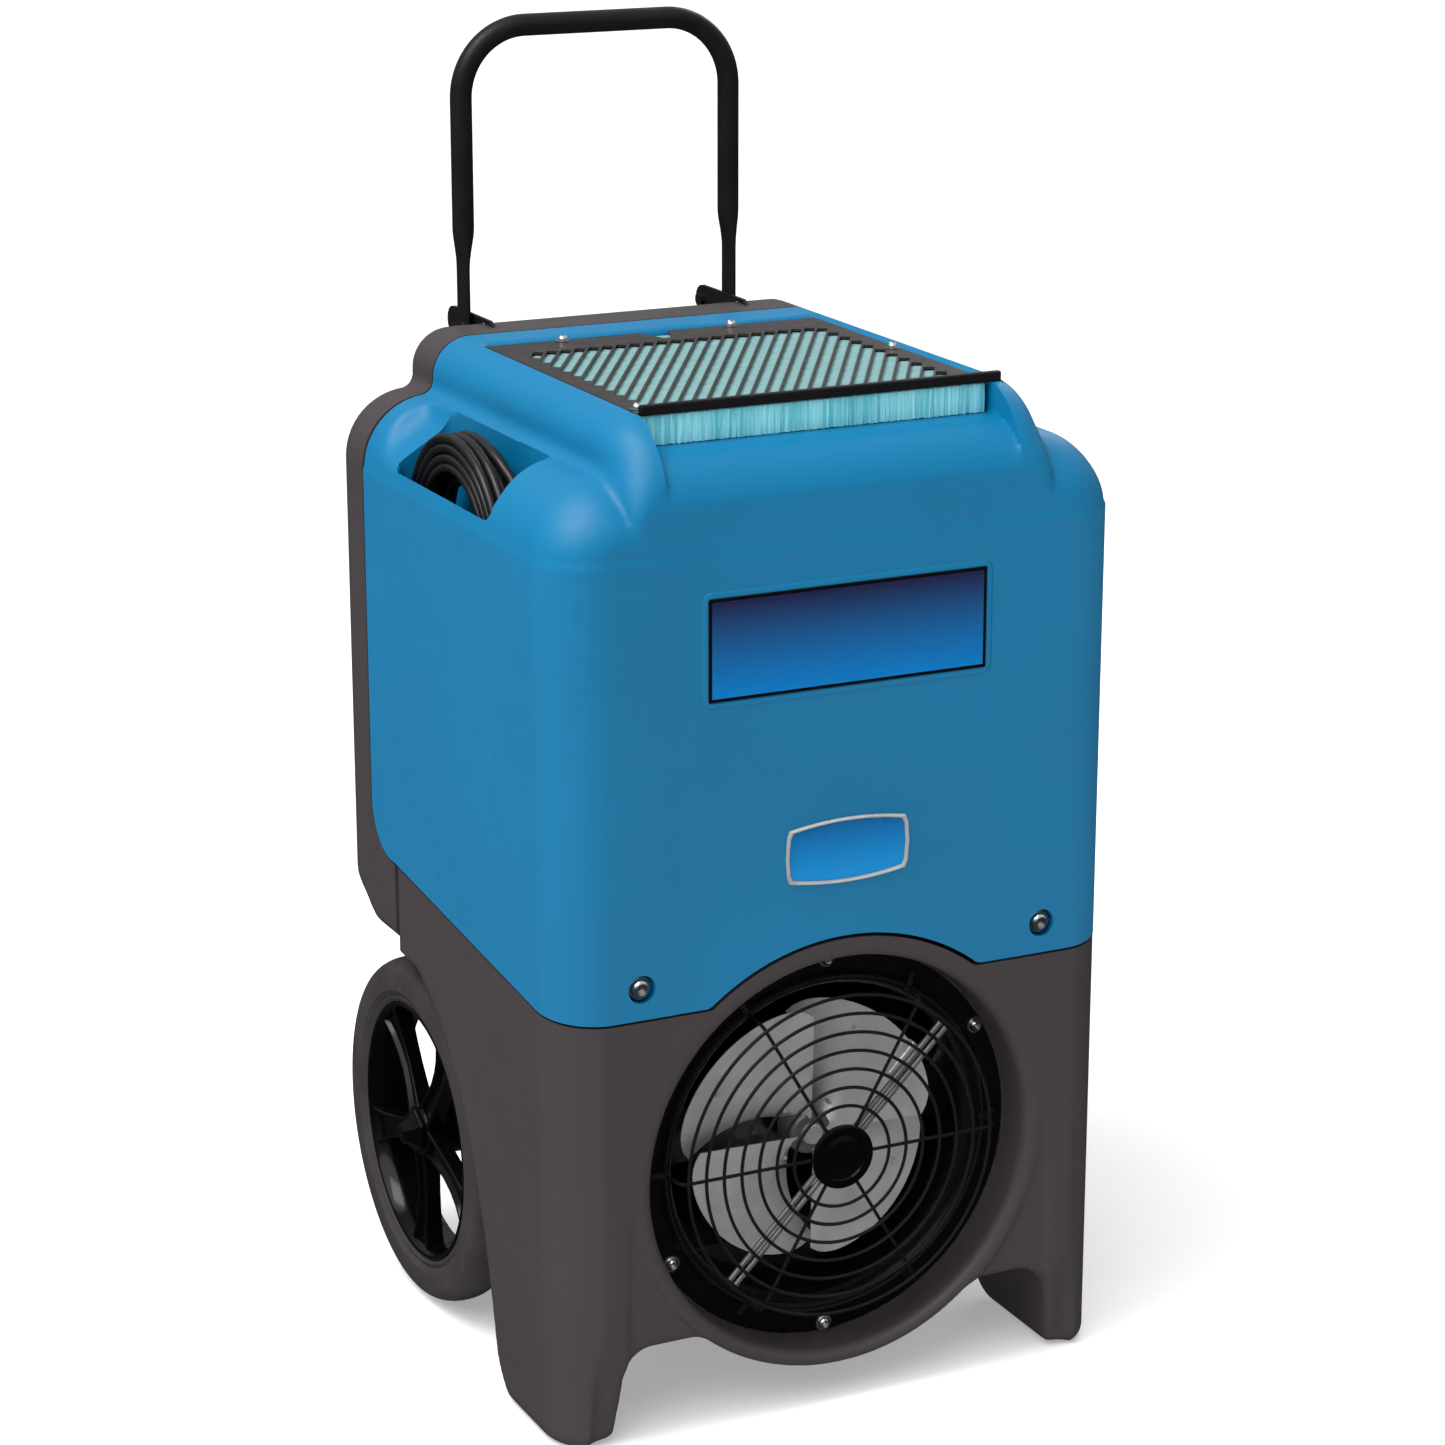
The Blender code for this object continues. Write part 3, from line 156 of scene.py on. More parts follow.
def net(field, low):
    """Surface nets: one vertex in each mixed cell, and a quad across each mixed lattice edge."""
    inside = field < 0
    count = np.zeros(tuple(n - 1 for n in field.shape), np.int8)
    for i, j, k in CORNERS:
        count += inside[i : i - 1 or None, j : j - 1 or None, k : k - 1 or None]
    cells = np.argwhere((count > 0) & (count < 8))
    total = np.zeros((len(cells), 3))
    crossings = np.zeros(len(cells))
    for a, b in CELL_EDGES:
        va = field[tuple((cells + a).T)]
        vb = field[tuple((cells + b).T)]
        mixed = (va < 0) != (vb < 0)
        share = np.where(mixed, va / np.where(mixed, va - vb, 1), 0)
        place = np.array(a) + share[:, None] * (np.array(b) - np.array(a))
        total += np.where(mixed[:, None], place, 0)
        crossings += mixed
    verts = (cells + total / crossings[:, None]) * CELL + np.array(low)
    index = np.full(count.shape, -1, np.int64)
    index[tuple(cells.T)] = np.arange(len(cells))
    quads = []
    for axis in range(3):
        u, v = (axis + 1) % 3, (axis + 2) % 3
        first = np.swapaxes(inside, 0, axis)
        change = np.argwhere(np.swapaxes(first[:-1] != first[1:], 0, axis))
        ok = (change[:, u] > 0) & (change[:, v] > 0)
        change = change[ok & (change[:, u] < count.shape[u]) & (change[:, v] < count.shape[v])]
        unit = np.eye(3, dtype=np.int64)
        ring = [change, change - unit[u], change - unit[u] - unit[v], change - unit[v]]
        quad = np.stack([index[tuple(c.T)] for c in ring], axis=1)
        flip = ~inside[tuple(change.T)]
        quad[flip] = quad[flip][:, ::-1]
        quads.append(quad)
    return verts, np.concatenate(quads)


def slope_of(function, points):
    """The function's gradient at each point."""
    step = 0.0004
    parts = []
    for axis in range(3):
        shift = np.zeros(3)
        shift[axis] = step
        ahead, back = points + shift, points - shift
        parts.append((function(*ahead.T) - function(*back.T)) / (2 * step))
    return np.stack(parts, axis=1)


def settle(verts, functions):
    """Moves vertices onto the surface, and onto the crease where two surfaces meet."""
    start = verts.copy()
    rows = np.arange(verts.shape[0])
    for _ in range(5):
        values = np.stack([f(*verts.T) for f in functions])
        slopes = np.stack([slope_of(f, verts) for f in functions])
        first = np.argmax(values, axis=0)
        va, ga = values[first, rows], slopes[first, rows]
        aa = np.einsum("ij,ij->i", ga, ga) + 1e-9
        sizes = np.einsum("fij,fij->fi", slopes, slopes) + 1e-9
        spreads = aa * sizes - np.einsum("fij,ij->fi", slopes, ga) ** 2
        rivals = np.where(spreads > 0.08 * aa * sizes, values, -1.0)
        second = np.argmax(rivals, axis=0)
        vb, gb = rivals[second, rows], slopes[second, rows]
        bb, spread = sizes[second, rows], spreads[second, rows]
        ab = np.einsum("ij,ij->i", ga, gb)
        single = -(va / aa)[:, None] * ga
        crease = vb > va - CREASE_REACH * CELL
        spread = np.where(crease, spread, 1)
        la = (-va * bb + vb * ab) / spread
        lb = (-vb * aa + va * ab) / spread
        double = la[:, None] * ga + lb[:, None] * gb
        verts = verts + np.where(crease[:, None], double, single)
        moved = verts - start
        length = np.linalg.norm(moved, axis=1, keepdims=True)
        verts = start + moved * np.minimum(1, LONGEST_MOVE * CELL / np.maximum(length, 1e-9))
    return verts


def add(name, data):
    """A new object in the scene."""
    obj = bpy.data.objects.new(name, data)
    bpy.context.scene.collection.objects.link(obj)
    return obj


def weld(mesh):
    """Joins vertices that ended up on the same spot of a crease."""
    bm = bmesh.new()
    bm.from_mesh(mesh)
    bmesh.ops.remove_doubles(bm, verts=bm.verts, dist=WELD_REACH * CELL)
    bm.to_mesh(mesh)
    bm.free()


def moulded(name, node, slot, functions, low, high):
    """A housing made of what lies inside every one of the functions."""
    axes = [np.arange(a - 1.37 * CELL, b + 2 * CELL, CELL) for a, b in zip(low, high)]
    origin = [axis[0] for axis in axes]
    x, d, z = axes[0][:, None, None], axes[1][None, :, None], axes[2][None, None, :]
    field = None
    for function in functions:
        part = np.broadcast_to(function(x, d, z), tuple(len(a) for a in axes))
        field = part if field is None else np.maximum(field, part)
    verts, quads = net(np.asarray(field), origin)
    verts = settle(verts, functions)
    verts[:, 1] += FRONT_Y
    mesh = bpy.data.meshes.new(name)
    mesh.from_pydata(verts.tolist(), [], quads.tolist())
    weld(mesh)
    mesh.shade_smooth()
    mesh.set_sharp_from_angle(angle=math.radians(48))
    housing = add(name, mesh)
    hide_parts(node)
    finish(housing, "housing", slot)


# ---------------- upper housing


def hood_body(x, d, z, blend=TOWER_BLEND):
    """Round-nosed shoulders, and the tower whose front corners stand proud of them as ribs."""
    ax = np.abs(x)
    step = STEP_IN * smooth((z - STEP_Z) / STEP_IN)
    shoulders = both(ax - HALF_WIDTH + step, z - SHOULDER_Z, SHOULDER_R)
    nose_r = 0.047 + 0.013 * smooth((z - 0.745) / 0.050)
    shoulders = both(shoulders, step - d, nose_r)
    side_r = 0.010 + (TOWER_SIDE_R - 0.010) * smooth((z - 0.765) / 0.055)
    tower = both(ax - TOWER_HALF, both(z - TOWER_TOP, step - d, TOWER_NOSE_R), side_r)
    return either(shoulders, tower, 0.0005 + blend * smooth((z - 0.770) / 0.040))


def valley(x, d, z):
    """The space in front of the grille, between the two ribs."""
    floor = both(z - FILTER_LOW, -d, 0.047)
    return np.maximum(np.maximum(np.abs(x) - WELL_HALF, -floor), d - WELL_FRONT - 0.001)


def filter_well(x, d, z):
    rim = 1.3 * np.maximum(z - RIM_Z, 0)
    low, high = (-WELL_HALF, WELL_FRONT - 0.006, None), (WELL_HALF, WELL_REAR, None)
    return np.maximum(block(x, d, 0 * z, low, high, 0.004) - rim, FILTER_LOW - z)


def air_hole(x, d, z):
    return block(x, d, z, (-0.140, 0.082, 0.78), (0.140, 0.345, 0.9), 0.006)


def pocket(x, d, z):
    """The well that holds the cord: its mouth is open over the sill."""
    ax = np.abs(x)
    well = block(ax, d, z, (POCKET_INNER, 0.1300, 0.6052), (0.2485, POCKET_REAR, None), 0.008)
    mouth = block(ax, d, z, (POCKET_INNER, 0.1330, 0.755), (0.40, POCKET_REAR, None), 0.010)
    return np.minimum(well, mouth)


def pocket_scoop(x, d, z):
    """The dish behind the pocket's mouth, which falls from the shoulder to the mouth."""
    ax = np.abs(x)
    floor = 0.757 + 0.62 * (0.254 - ax)
    rear = 0.386 + 0.08 * (0.254 - ax)
    across = np.maximum(0.1990 - ax, 0.20 - d)
    bowl = both((floor - z) / 1.18, d - rear, 0.034)
    return both(across, bowl, 0.012)


def hood_outside(x, d, z):
    return without(hood_body(x, d, z), pocket_scoop(x, d, z), 0.0045)


def hood_hollow(x, d, z):
    """Minus the space inside the shell, which stays a wall's thickness from every face."""
    body = hood_body(x, d, z, 0.0) + WALL
    for space in (pocket, pocket_scoop, filter_well, valley):
        body = np.maximum(body, WALL - space(x, d, z))
    return -np.minimum(body, air_hole(x, d, z))


def minus(shape):
    return lambda x, d, z: -shape(x, d, z)


def bar_notch(x, d, z):
    return block(x, d, z, (0.15, 0.0545, 0.8432), (0.1682, 0.0660, None), 0.0015)


def bolt_dimples(x, d, z):
    rho = np.hypot(np.abs(x) - 0.1825, z - 0.397)
    return np.maximum(rho - 0.0118, d - 0.0068)


def hood_bottom(x, d, z):
    return seam_z(d) + SEAM_GAP / 2 - z + 0 * x


def hood_arch(x, d, z):
    return ARCH_R + SEAM_GAP - np.hypot(x, z - FAN_Z) + 0 * d


def hood_rear(x, d, z):
    low = SEAM_FRONT_Z + SEAM_SLOPE * REAR_START + SEAM_GAP / 2
    corner = both(d - HOOD_END, low - z, HOOD_CORNER_R)
    return np.where(d < REAR_START, d - HOOD_END, corner) + 0 * x


def make_hood():
    cuts = [minus(shape) for shape in (valley, filter_well, pocket, bolt_dimples, bar_notch)]
    functions = [hood_outside, hood_hollow, *cuts, hood_bottom, hood_arch, hood_rear]
    low, high = (-HALF_WIDTH, 0, SEAM_FRONT_Z), (HALF_WIDTH, HOOD_END, TOWER_TOP)
    moulded("moulded_hood", "upper_housing", "housing_blue", functions, low, high)


# ---------------- base housing


def arch_depth(z):
    """Depth of the wheel arch's edge at a height."""
    t = np.linspace(0, 1, 60)
    weights = np.stack([(1 - t) ** 3, 3 * t * (1 - t) ** 2, 3 * t * t * (1 - t), t**3])
    depths = weights.T @ np.array([0.141, 0.166, 0.232, 0.3537])
    heights = weights.T @ np.array([0.0, 0.165, 0.326, 0.326])
    return np.interp(z, heights, depths)


def behind_arch(d, z):
    """Distance behind the wheel arch's edge, with the leg's heel rounded off."""
    slope = (arch_depth(z + 0.002) - arch_depth(z - 0.002)) / 0.004
    heel = 0.024 * np.clip(1 - z / 0.042, 0, 1.2) ** 2
    return (d + heel - arch_depth(z)) / np.sqrt(1 + np.minimum(slope, 6) ** 2)


def leg_gap(x, z):
    """The space between the two front legs."""
    inner = 0.1955 + 0.13 * np.clip(0.08 - z, 0, 0.08)
    return both(np.abs(x) - inner, z - 0.082, 0.024)


def belly_radius(z):
    return BELLY_R + (ARCH_R - SEAM_GAP / 2 - BELLY_R) * smooth((z - 0.20) / 0.12)


def base_body(x, d, z):
    ax = np.abs(x)
    belly = np.hypot(x, z - FAN_Z) - belly_radius(z)
    step = 0.0028 * smooth((0.1975 - ax) / 0.005) * smooth((0.27 - z) / 0.16)
    sides = without(ax - HALF_WIDTH, leg_gap(x, z), 0.012)
    section = either(sides, np.maximum(belly, d - BELLY_DEPTH), 0.006)
    front_r = 0.010 + 0.038 * smooth((ax - 0.196) / 0.030)
    body = both(section, step * (belly > 0) - d, front_r)
    tub = block(x, d, z, (-0.180, 0.10, 0.100), (0.180, BASE_END, 0.3345), 0.014)
    body = both(body, behind_arch(d, z), 0.008)
    body = either(body, tub, 0.004)
    return both(body, -z, 0.012)


def fan_opening(x, d, z):
    rho = np.hypot(x, z - FAN_Z)
    edge = 0.1742 - 0.0034 * np.clip(d / 0.039, 0, 1)
    return np.maximum(rho - edge, d - 0.0388)


def base_hollow(x, d, z):
    rho = np.hypot(x, z - FAN_Z)
    throat = np.maximum(rho - 0.158, np.abs(d - 0.069) - 0.049)
    room = block(x, d, z, (-0.1735, 0.112, 0.107), (0.1735, 0.4535, 0.8), 0.002)
    axle = np.maximum(np.hypot(d - WHEEL_DEPTH, z - WHEEL_Z) - 0.0088, np.abs(x) - 0.3)
    drain = np.maximum(np.hypot(x - 0.12, z - 0.24) - 0.0090, 0.44 - d)
    return np.minimum(np.minimum(throat, room), np.minimum(axle, drain))


def base_shell(x, d, z):
    body = without(base_body(x, d, z), fan_opening(x, d, z), 0.0085)
    return np.maximum(body, -base_hollow(x, d, z))


def base_top(x, d, z):
    crown = np.maximum(np.hypot(x, z - FAN_Z) - ARCH_R + SEAM_GAP / 2, d - BELLY_DEPTH)
    return np.minimum(z - seam_z(d) + SEAM_GAP / 2, crown)


def make_base():
    low, high = (-HALF_WIDTH, 0, 0), (HALF_WIDTH, BASE_END, ARCH_R + FAN_Z)
    moulded("moulded_base", "base_housing", "housing_grey", [base_shell, base_top], low, high)


# ---------------- rear housing


def rear_body(x, d, z):
    ax = np.abs(x)
    shoulders = both(both(ax - HALF_WIDTH, d - REAR_END, 0.058), z - SHOULDER_Z, SHOULDER_R)
    recess = block(x, d, z, (-0.163, RECESS_DEPTH, 0.500), (0.163, 0.9, 1.6), 0.006)
    shoulders = without(shoulders, recess, 0.007)
    tower = both(both(ax - TOWER_HALF, z - TOWER_TOP, TOWER_SIDE_R), d - RECESS_DEPTH, 0.018)
    tower = np.maximum(tower, 0.60 - z)
    body = np.maximum(either(shoulders, tower, 0.012), -recess)
    low_r = 0.012 + 0.028 * smooth((d - 0.40) / 0.05)
    return both(body, REAR_LOW - z, low_r)


def rear_shell(x, d, z):
    """The rear body's wall, with room behind the control panel for the pressed keys."""
    hollow = rear_body(x, d, z) + WALL
    floor_hole = block(x, d, z, (-0.168, 0.2, 0.20), (0.168, 0.450, 0.37), 0.004)
    shell = np.maximum(rear_body(x, d, z), -np.minimum(hollow, floor_hole))
    key_space = block(x, d, z, (-0.080, RECESS_DEPTH - 0.0045, 0.664), (0.080, 0.9, 0.700), 0.002)
    return np.maximum(shell, -key_space)


def rear_front(x, d, z):
    low = SEAM_FRONT_Z + SEAM_SLOPE * REAR_START - SEAM_GAP / 2
    hood = both(d - HOOD_END - SEAM_GAP, low - z, HOOD_CORNER_R)
    return np.maximum(REAR_START + 0.0006 - d, -hood) + 0 * x


def make_rear():
    low, high = (-HALF_WIDTH, REAR_START, REAR_LOW), (HALF_WIDTH, REAR_END, TOWER_TOP)
    moulded("moulded_rear", "rear_housing", "housing_grey", [rear_shell, rear_front], low, high)


# ---------------- materials


class Shader:
    """A Principled material whose colour, roughness and bump come from small node groups."""

    def __init__(self, name, colour, roughness, metallic=0.0, sheen=0.0, shine=0.3):
        self.material = bpy.data.materials.new(name)
        self.material.use_nodes = True
        self.tree = self.material.node_tree
        self.main = self.tree.nodes["Principled BSDF"]
        self.main.inputs["Base Color"].default_value = (*colour, 1)
        self.main.inputs["Roughness"].default_value = roughness
        self.main.inputs["Metallic"].default_value = metallic
        self.main.inputs["Specular IOR Level"].default_value = 0.5 if metallic else shine
        self.main.inputs["Sheen Weight"].default_value = sheen
        self.place = self.tree.nodes.new("ShaderNodeTexCoord").outputs["Object"]

    def node(self, kind, **values):
        made = self.tree.nodes.new(kind)
        for key, value in values.items():
            if key in made.inputs:
                if isinstance(value, bpy.types.NodeSocket):
                    self.tree.links.new(value, made.inputs[key])
                else:
                    made.inputs[key].default_value = value
            else:
                setattr(made, key, value)
        return made

    def link(self, output, name):
        self.tree.links.new(output, self.main.inputs[name])

    def noise(self, scale, detail=3.0, roughness=0.5, stretch=(1, 1, 1)):
        spread = self.node("ShaderNodeMapping", Vector=self.place, Scale=stretch)
        values = {"Scale": scale, "Detail": detail, "Roughness": roughness}
        return self.node("ShaderNodeTexNoise", Vector=spread.outputs[0], **values).outputs["Fac"]

    def ramp(self, value, low, high, start=0.35, end=0.65):
        """A number or a colour between low and high as value runs from start to end."""
        values = {"From Min": start, "From Max": end, "To Min": low, "To Max": high}
        return self.node("ShaderNodeMapRange", Value=value, **values).outputs["Result"]

    def mix(self, share, first, second):
        made = self.tree.nodes.new("ShaderNodeMix")
        made.data_type = "RGBA"
        for socket, value in ((made.inputs[0], share), (made.inputs[6], first), (made.inputs[7], second)):
            if isinstance(value, bpy.types.NodeSocket):
                self.tree.links.new(value, socket)
            elif isinstance(value, (tuple, list)):
                socket.default_value = (*value[:3], 1)
            else:
                socket.default_value = value
        return made.outputs[2]

    def bump(self, height, strength, distance, below=None):
        made = self.node("ShaderNodeBump", Height=height, Strength=strength, Distance=distance)
        if below is not None:
            self.tree.links.new(below, made.inputs["Normal"])
        return made.outputs["Normal"]


def shade(colour, factor):
    return tuple(min(1.0, c * factor) for c in colour)


def moulded_plastic(name, colour, roughness, grain, shine):
    """Rotomoulded polyethylene: an even satin skin with a fine orange peel and faint scuffs."""
    made = Shader(name, colour, roughness, shine=shine)
    cloudy = made.ramp(made.noise(5.0, 4.0), 0.0, 1.0)
    made.link(made.mix(cloudy, shade(colour, 0.97), shade(colour, 1.03)), "Base Color")
    scuffs = made.ramp(made.noise(45.0, 5.0, 0.6), roughness - 0.03, roughness + 0.04)
    made.link(scuffs, "Roughness")
    waves = made.bump(made.noise(9.0, 2.0), 0.06, 0.006)
    peel = made.bump(made.noise(260.0, 2.0), grain, 0.0010, waves)
    made.link(made.bump(made.noise(900.0, 1.0), grain, 0.0004, peel), "Normal")
    return made.material


def plain(name, colour, roughness, metallic=0.0, grain=0.1, scale=400.0, shine=0.3):
    """A surface with slight changes of tone and roughness and a fine bump."""
    made = Shader(name, colour, roughness, metallic, shine=shine)
    cloudy = made.ramp(made.noise(30.0, 4.0), 0.0, 1.0)
    made.link(made.mix(cloudy, shade(colour, 0.90), shade(colour, 1.10)), "Base Color")
    made.link(made.ramp(made.noise(90.0, 4.0), roughness * 0.85, roughness * 1.18), "Roughness")
    made.link(made.bump(made.noise(scale, 3.0), grain, 0.0006), "Normal")
    return made.material


def striped_fibre(name, dark, light, roughness):
    """Filter fibre seen from the front: upright strands of uneven tone."""
    made = Shader(name, dark, roughness, sheen=0.3)
    strands = made.ramp(made.noise(1.0, 2.0, 0.6, (420, 420, 9)), 0.0, 1.0, 0.36, 0.64)
    wide = made.ramp(made.noise(1.0, 1.0, 0.5, (90, 90, 3)), 0.0, 1.0, 0.40, 0.60)
    tone = made.mix(strands, dark, light)
    made.link(made.mix(made.ramp(wide, 0.0, 0.45, 0.0, 1.0), tone, light), "Base Color")
    made.link(made.bump(strands, 0.6, 0.0012), "Normal")
    return made.material


def felt(name, colour, roughness):
    """Filter fibre seen from above: a matted pad with pleats across it. The colour it is given carries
    painted shade.
    """
    made = Shader(name, colour, roughness, sheen=0.2)
    tangle = made.ramp(made.noise(700.0, 4.0, 0.7), 0.0, 1.0, 0.30, 0.70)
    patches = made.ramp(made.noise(1.0, 2.0, 0.5, (40, 130, 40)), 0.0, 1.0, 0.38, 0.62)
    tone = made.mix(tangle, shade(colour, 0.80), shade(colour, 1.18))
    made.link(made.mix(made.ramp(patches, 0.0, 0.4, 0.0, 1.0), tone, shade(colour, 1.30)), "Base Color")
    made.link(made.bump(tangle, 0.5, 0.0010), "Normal")
    return made.material


def printed_label(name, low, high, bottom, top):
    """A printed sheet whose tone runs evenly from its lower edge to its upper edge."""
    made = Shader(name, bottom, 0.30, shine=0.08)
    height = made.node("ShaderNodeSeparateXYZ", Vector=made.place).outputs["Z"]
    share = made.ramp(height, 0.0, 1.0, low, high)
    made.link(made.mix(share, bottom, top), "Base Color")
    made.link(made.ramp(made.noise(80.0), 0.24, 0.36), "Roughness")
    return made.material


def brushed(name, colour, roughness):
    """Sheet metal with a fine grain and dull patches."""
    made = Shader(name, colour, roughness, 1.0)
    patches = made.ramp(made.noise(14.0, 3.0), 0.0, 1.0)
    made.link(made.mix(patches, shade(colour, 0.82), shade(colour, 1.05)), "Base Color")
    made.link(made.ramp(made.noise(60.0, 4.0), roughness * 0.7, roughness * 1.3), "Roughness")
    waves = made.bump(made.noise(11.0, 2.0), 0.25, 0.004)
    made.link(made.bump(made.noise(300.0, 3.0), 0.08, 0.0005, waves), "Normal")
    return made.material


# Finishes of pieces that share a slot with another finish
STRANDS = striped_fibre("filter_strands", (0.100, 0.540, 0.640), (0.340, 0.860, 0.920), 0.85)
BADGE = printed_label("badge_print", 0.468, 0.508, (0.008, 0.230, 0.560), (0.003, 0.120, 0.330))
GLOSS = plain("gloss_moulding", (0.0015, 0.0015, 0.002), 0.14, 0.0, 0.02, 60.0, shine=0.16)
# Dark copy of the zinc with painted shade: the brace's light grey tubes are darkened to how they look in
# shade, and the fan hub takes the same copy.
ZINC_PAINTED_SHADE = plain("zinc_painted_shade", (0.20, 0.20, 0.205), 0.38, 0.6, 0.03, 60.0)
BRIGHT = plain("bright_trim", (0.62, 0.60, 0.57), 0.30, 0.5, 0.02, 60.0)

# One finish for each slot
LABEL_FOOT, LABEL_HEAD = (0.000, 0.170, 0.480), (0.012, 0.016, 0.060)
MATERIALS = {
    "housing_blue": moulded_plastic("blue_polyethylene", (0.0, 0.152, 0.320), 0.47, 0.06, 0.26),
    "housing_grey": moulded_plastic("grey_polyethylene", (0.052, 0.0435, 0.0465), 0.50, 0.14, 0.18),
    # The pad's colour is the fibre darkened by painted shade from the grille above it; the strands below
    # the bar show the fibre lit.
    "filter_media": felt("filter_pad_felt_grille_shade", (0.150, 0.320, 0.330), 0.95),
    "label_blue": printed_label("label_print", 0.626, 0.704, LABEL_FOOT, LABEL_HEAD),
    "grille_grey": plain("grille_coat", (0.030, 0.026, 0.025), 0.45, 0.0, 0.15, shine=0.18),
    "black_steel": plain("black_coat", (0.008, 0.0075, 0.0085), 0.42, 0.0, 0.12, shine=0.16),
    "zinc_steel": brushed("zinc", (0.70, 0.70, 0.69), 0.20),
    "black_plastic": plain("black_moulding", (0.003, 0.003, 0.0035), 0.30, 0.0, 0.02, 120.0, 0.16),
    "aluminium": plain("aluminium_sheet", (0.60, 0.60, 0.62), 0.38, 0.45, 0.05, 25.0),
    "copper": brushed("copper_tube", (0.62, 0.26, 0.14), 0.30),
    "dark_lens": plain("display_window", (0.01, 0.02, 0.02), 0.08, 0.0, 0.02),
    "key_grey": plain("key_rubber", (0.25, 0.26, 0.28), 0.60),
    "rubber": plain("cable_sheath", (0.007, 0.0065, 0.007), 0.36, 0.0, 0.08, 500.0, 0.30),
    "tyre": plain("tyre_rubber", (0.041, 0.0355, 0.038), 0.62, 0.0, 0.12, 300.0, 0.10),
}


def dress_frame():
    """Gives every CAD node the finish of its slot."""
    for part in frame["record"]["subparts"]:
        node = frame["nodes"][part["node"]]
        node.data.materials.clear()
        node.data.materials.append(MATERIALS[part["material_slot"]])


def finish(obj, body, slot, material=None):
    """Gives an object its slot and body, and the slot's material unless it has its own."""
    obj.data.materials.clear()
    obj.data.materials.append(material or MATERIALS[slot])
    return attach(obj, body)


# ---------------- camera, light and floor


def make_camera():
    data = bpy.data.cameras.new("camera")
    data.sensor_width = 36.0
    data.lens = 95.3
    camera = add("camera", data)
    camera.location = (-1.366, -2.851, 1.456)
    camera.rotation_euler = (math.radians(90 - 16.44), 0.0, math.radians(-25.89))
    bpy.context.scene.camera = camera


def area_light(name, place, size, power):
    """A rectangle of light that faces the middle of the machine."""
    data = bpy.data.lights.new(name, "AREA")
    data.shape = "RECTANGLE"
    data.size, data.size_y = size
    data.energy = power
    lamp = add(name, data)
    lamp.location = place
    lamp.rotation_euler = facing(Vector((0, 0, 0.7)) - Vector(place))


def facing(way):
    """The rotation of a light that shines along a direction."""
    return way.to_track_quat("-Z", "Y").to_euler()


def make_floor():
    """A white sheet that glows a little, so that shadows on it stay faint."""
    bm = bmesh.new()
    bmesh.ops.create_grid(bm, x_segments=1, y_segments=1, size=40.0)
    mesh = bpy.data.meshes.new("floor")
    bm.to_mesh(mesh)
    bm.free()
    floor = add("floor", mesh)
    floor.visible_glossy = False
    paper = Shader("floor_paper", (0.80, 0.80, 0.80), 0.9, shine=0.0)
    paper.main.inputs["Emission Color"].default_value = (1, 1, 1, 1)
    paper.main.inputs["Emission Strength"].default_value = 0.32
    mesh.materials.append(paper.material)


def make_sky():
    """An even white sky over a dark lower half, which only reflections reach."""
    world = bpy.data.worlds.new("studio")
    world.use_nodes = True
    tree = world.node_tree
    place = tree.nodes.new("ShaderNodeTexCoord")
    split = tree.nodes.new("ShaderNodeSeparateXYZ")
    rise = tree.nodes.new("ShaderNodeMapRange")
    tree.links.new(place.outputs["Generated"], split.inputs[0])
    tree.links.new(split.outputs["Z"], rise.inputs["Value"])
    for name, value in (("From Min", -0.05), ("From Max", 0.55), ("To Min", 0.04), ("To Max", 0.62)):
        rise.inputs[name].default_value = value
    background = tree.nodes["Background"]
    background.inputs["Color"].default_value = (1, 1, 1, 1)
    tree.links.new(rise.outputs["Result"], background.inputs["Strength"])
    bpy.context.scene.world = world


def make_studio():
    make_floor()
    make_sky()
    bpy.context.scene.view_settings.view_transform = "Standard"
    data = bpy.data.lights.new("sky_panel", "SUN")
    data.energy = 1.9
    data.angle = math.radians(55)
    add("sky_panel", data).rotation_euler = facing(Vector((0.58, 0.30, -1.0)))
    area_light("key", (-1.50, -0.30, 3.3), (1.5, 1.5), 62)
    area_light("rim", (1.9, 1.6, 2.2), (1.0, 1.6), 14)


# ---------------- pieces from profiles and paths


def spot(x, d, z):
    return Vector((x, FRONT_Y + d, z))


def round_front(turn, radius=1.0, depth=0.0):
    """The step from a middle to a place round it, seen from the front."""
    return Vector((radius * math.cos(turn), depth, radius * math.sin(turn)))


def bridge(rings, size, closed):
    """Quads between rings of vertices that follow each other, with end caps when not closed."""
    faces = []
    for index in range(rings if closed else rings - 1):
        a, b = index * size, (index + 1) % rings * size
        for step in range(size):
            after = (step + 1) % size
            faces.append((a + step, a + after, b + after, b + step))
    if not closed:
        faces += [tuple(range(size)), tuple(range((rings - 1) * size, rings * size))]
    return faces


def lathe(axis, centre, profile, steps=96, closed=False):
    """Vertices and faces of a (radius, height) profile turned about an axis."""
    way = {"x": Vector((1, 0, 0)), "y": Vector((0, 1, 0)), "z": Vector((0, 0, 1))}[axis]
    side = Vector((way.y, way.z, way.x))
    up = way.cross(side)
    verts, faces, rings = [], [], []
    for radius, height in profile:
        middle = centre + way * height
        if radius < 1e-6:
            rings.append([len(verts)] * steps)
            verts.append(middle)
            continue
        rings.append(list(range(len(verts), len(verts) + steps)))
        for index in range(steps):
            turn = 2 * math.pi * index / steps
            verts.append(middle + radius * (math.cos(turn) * side + math.sin(turn) * up))
    pairs = list(zip(rings, rings[1:]))
    if closed:
        pairs.append((rings[-1], rings[0]))
    for first, second in pairs:
        for index in range(steps):
            after = (index + 1) % steps
            corners = (first[index], first[after], second[after], second[index])
            faces.append(list(dict.fromkeys(corners)))
    return verts, [f for f in faces if len(f) > 2]


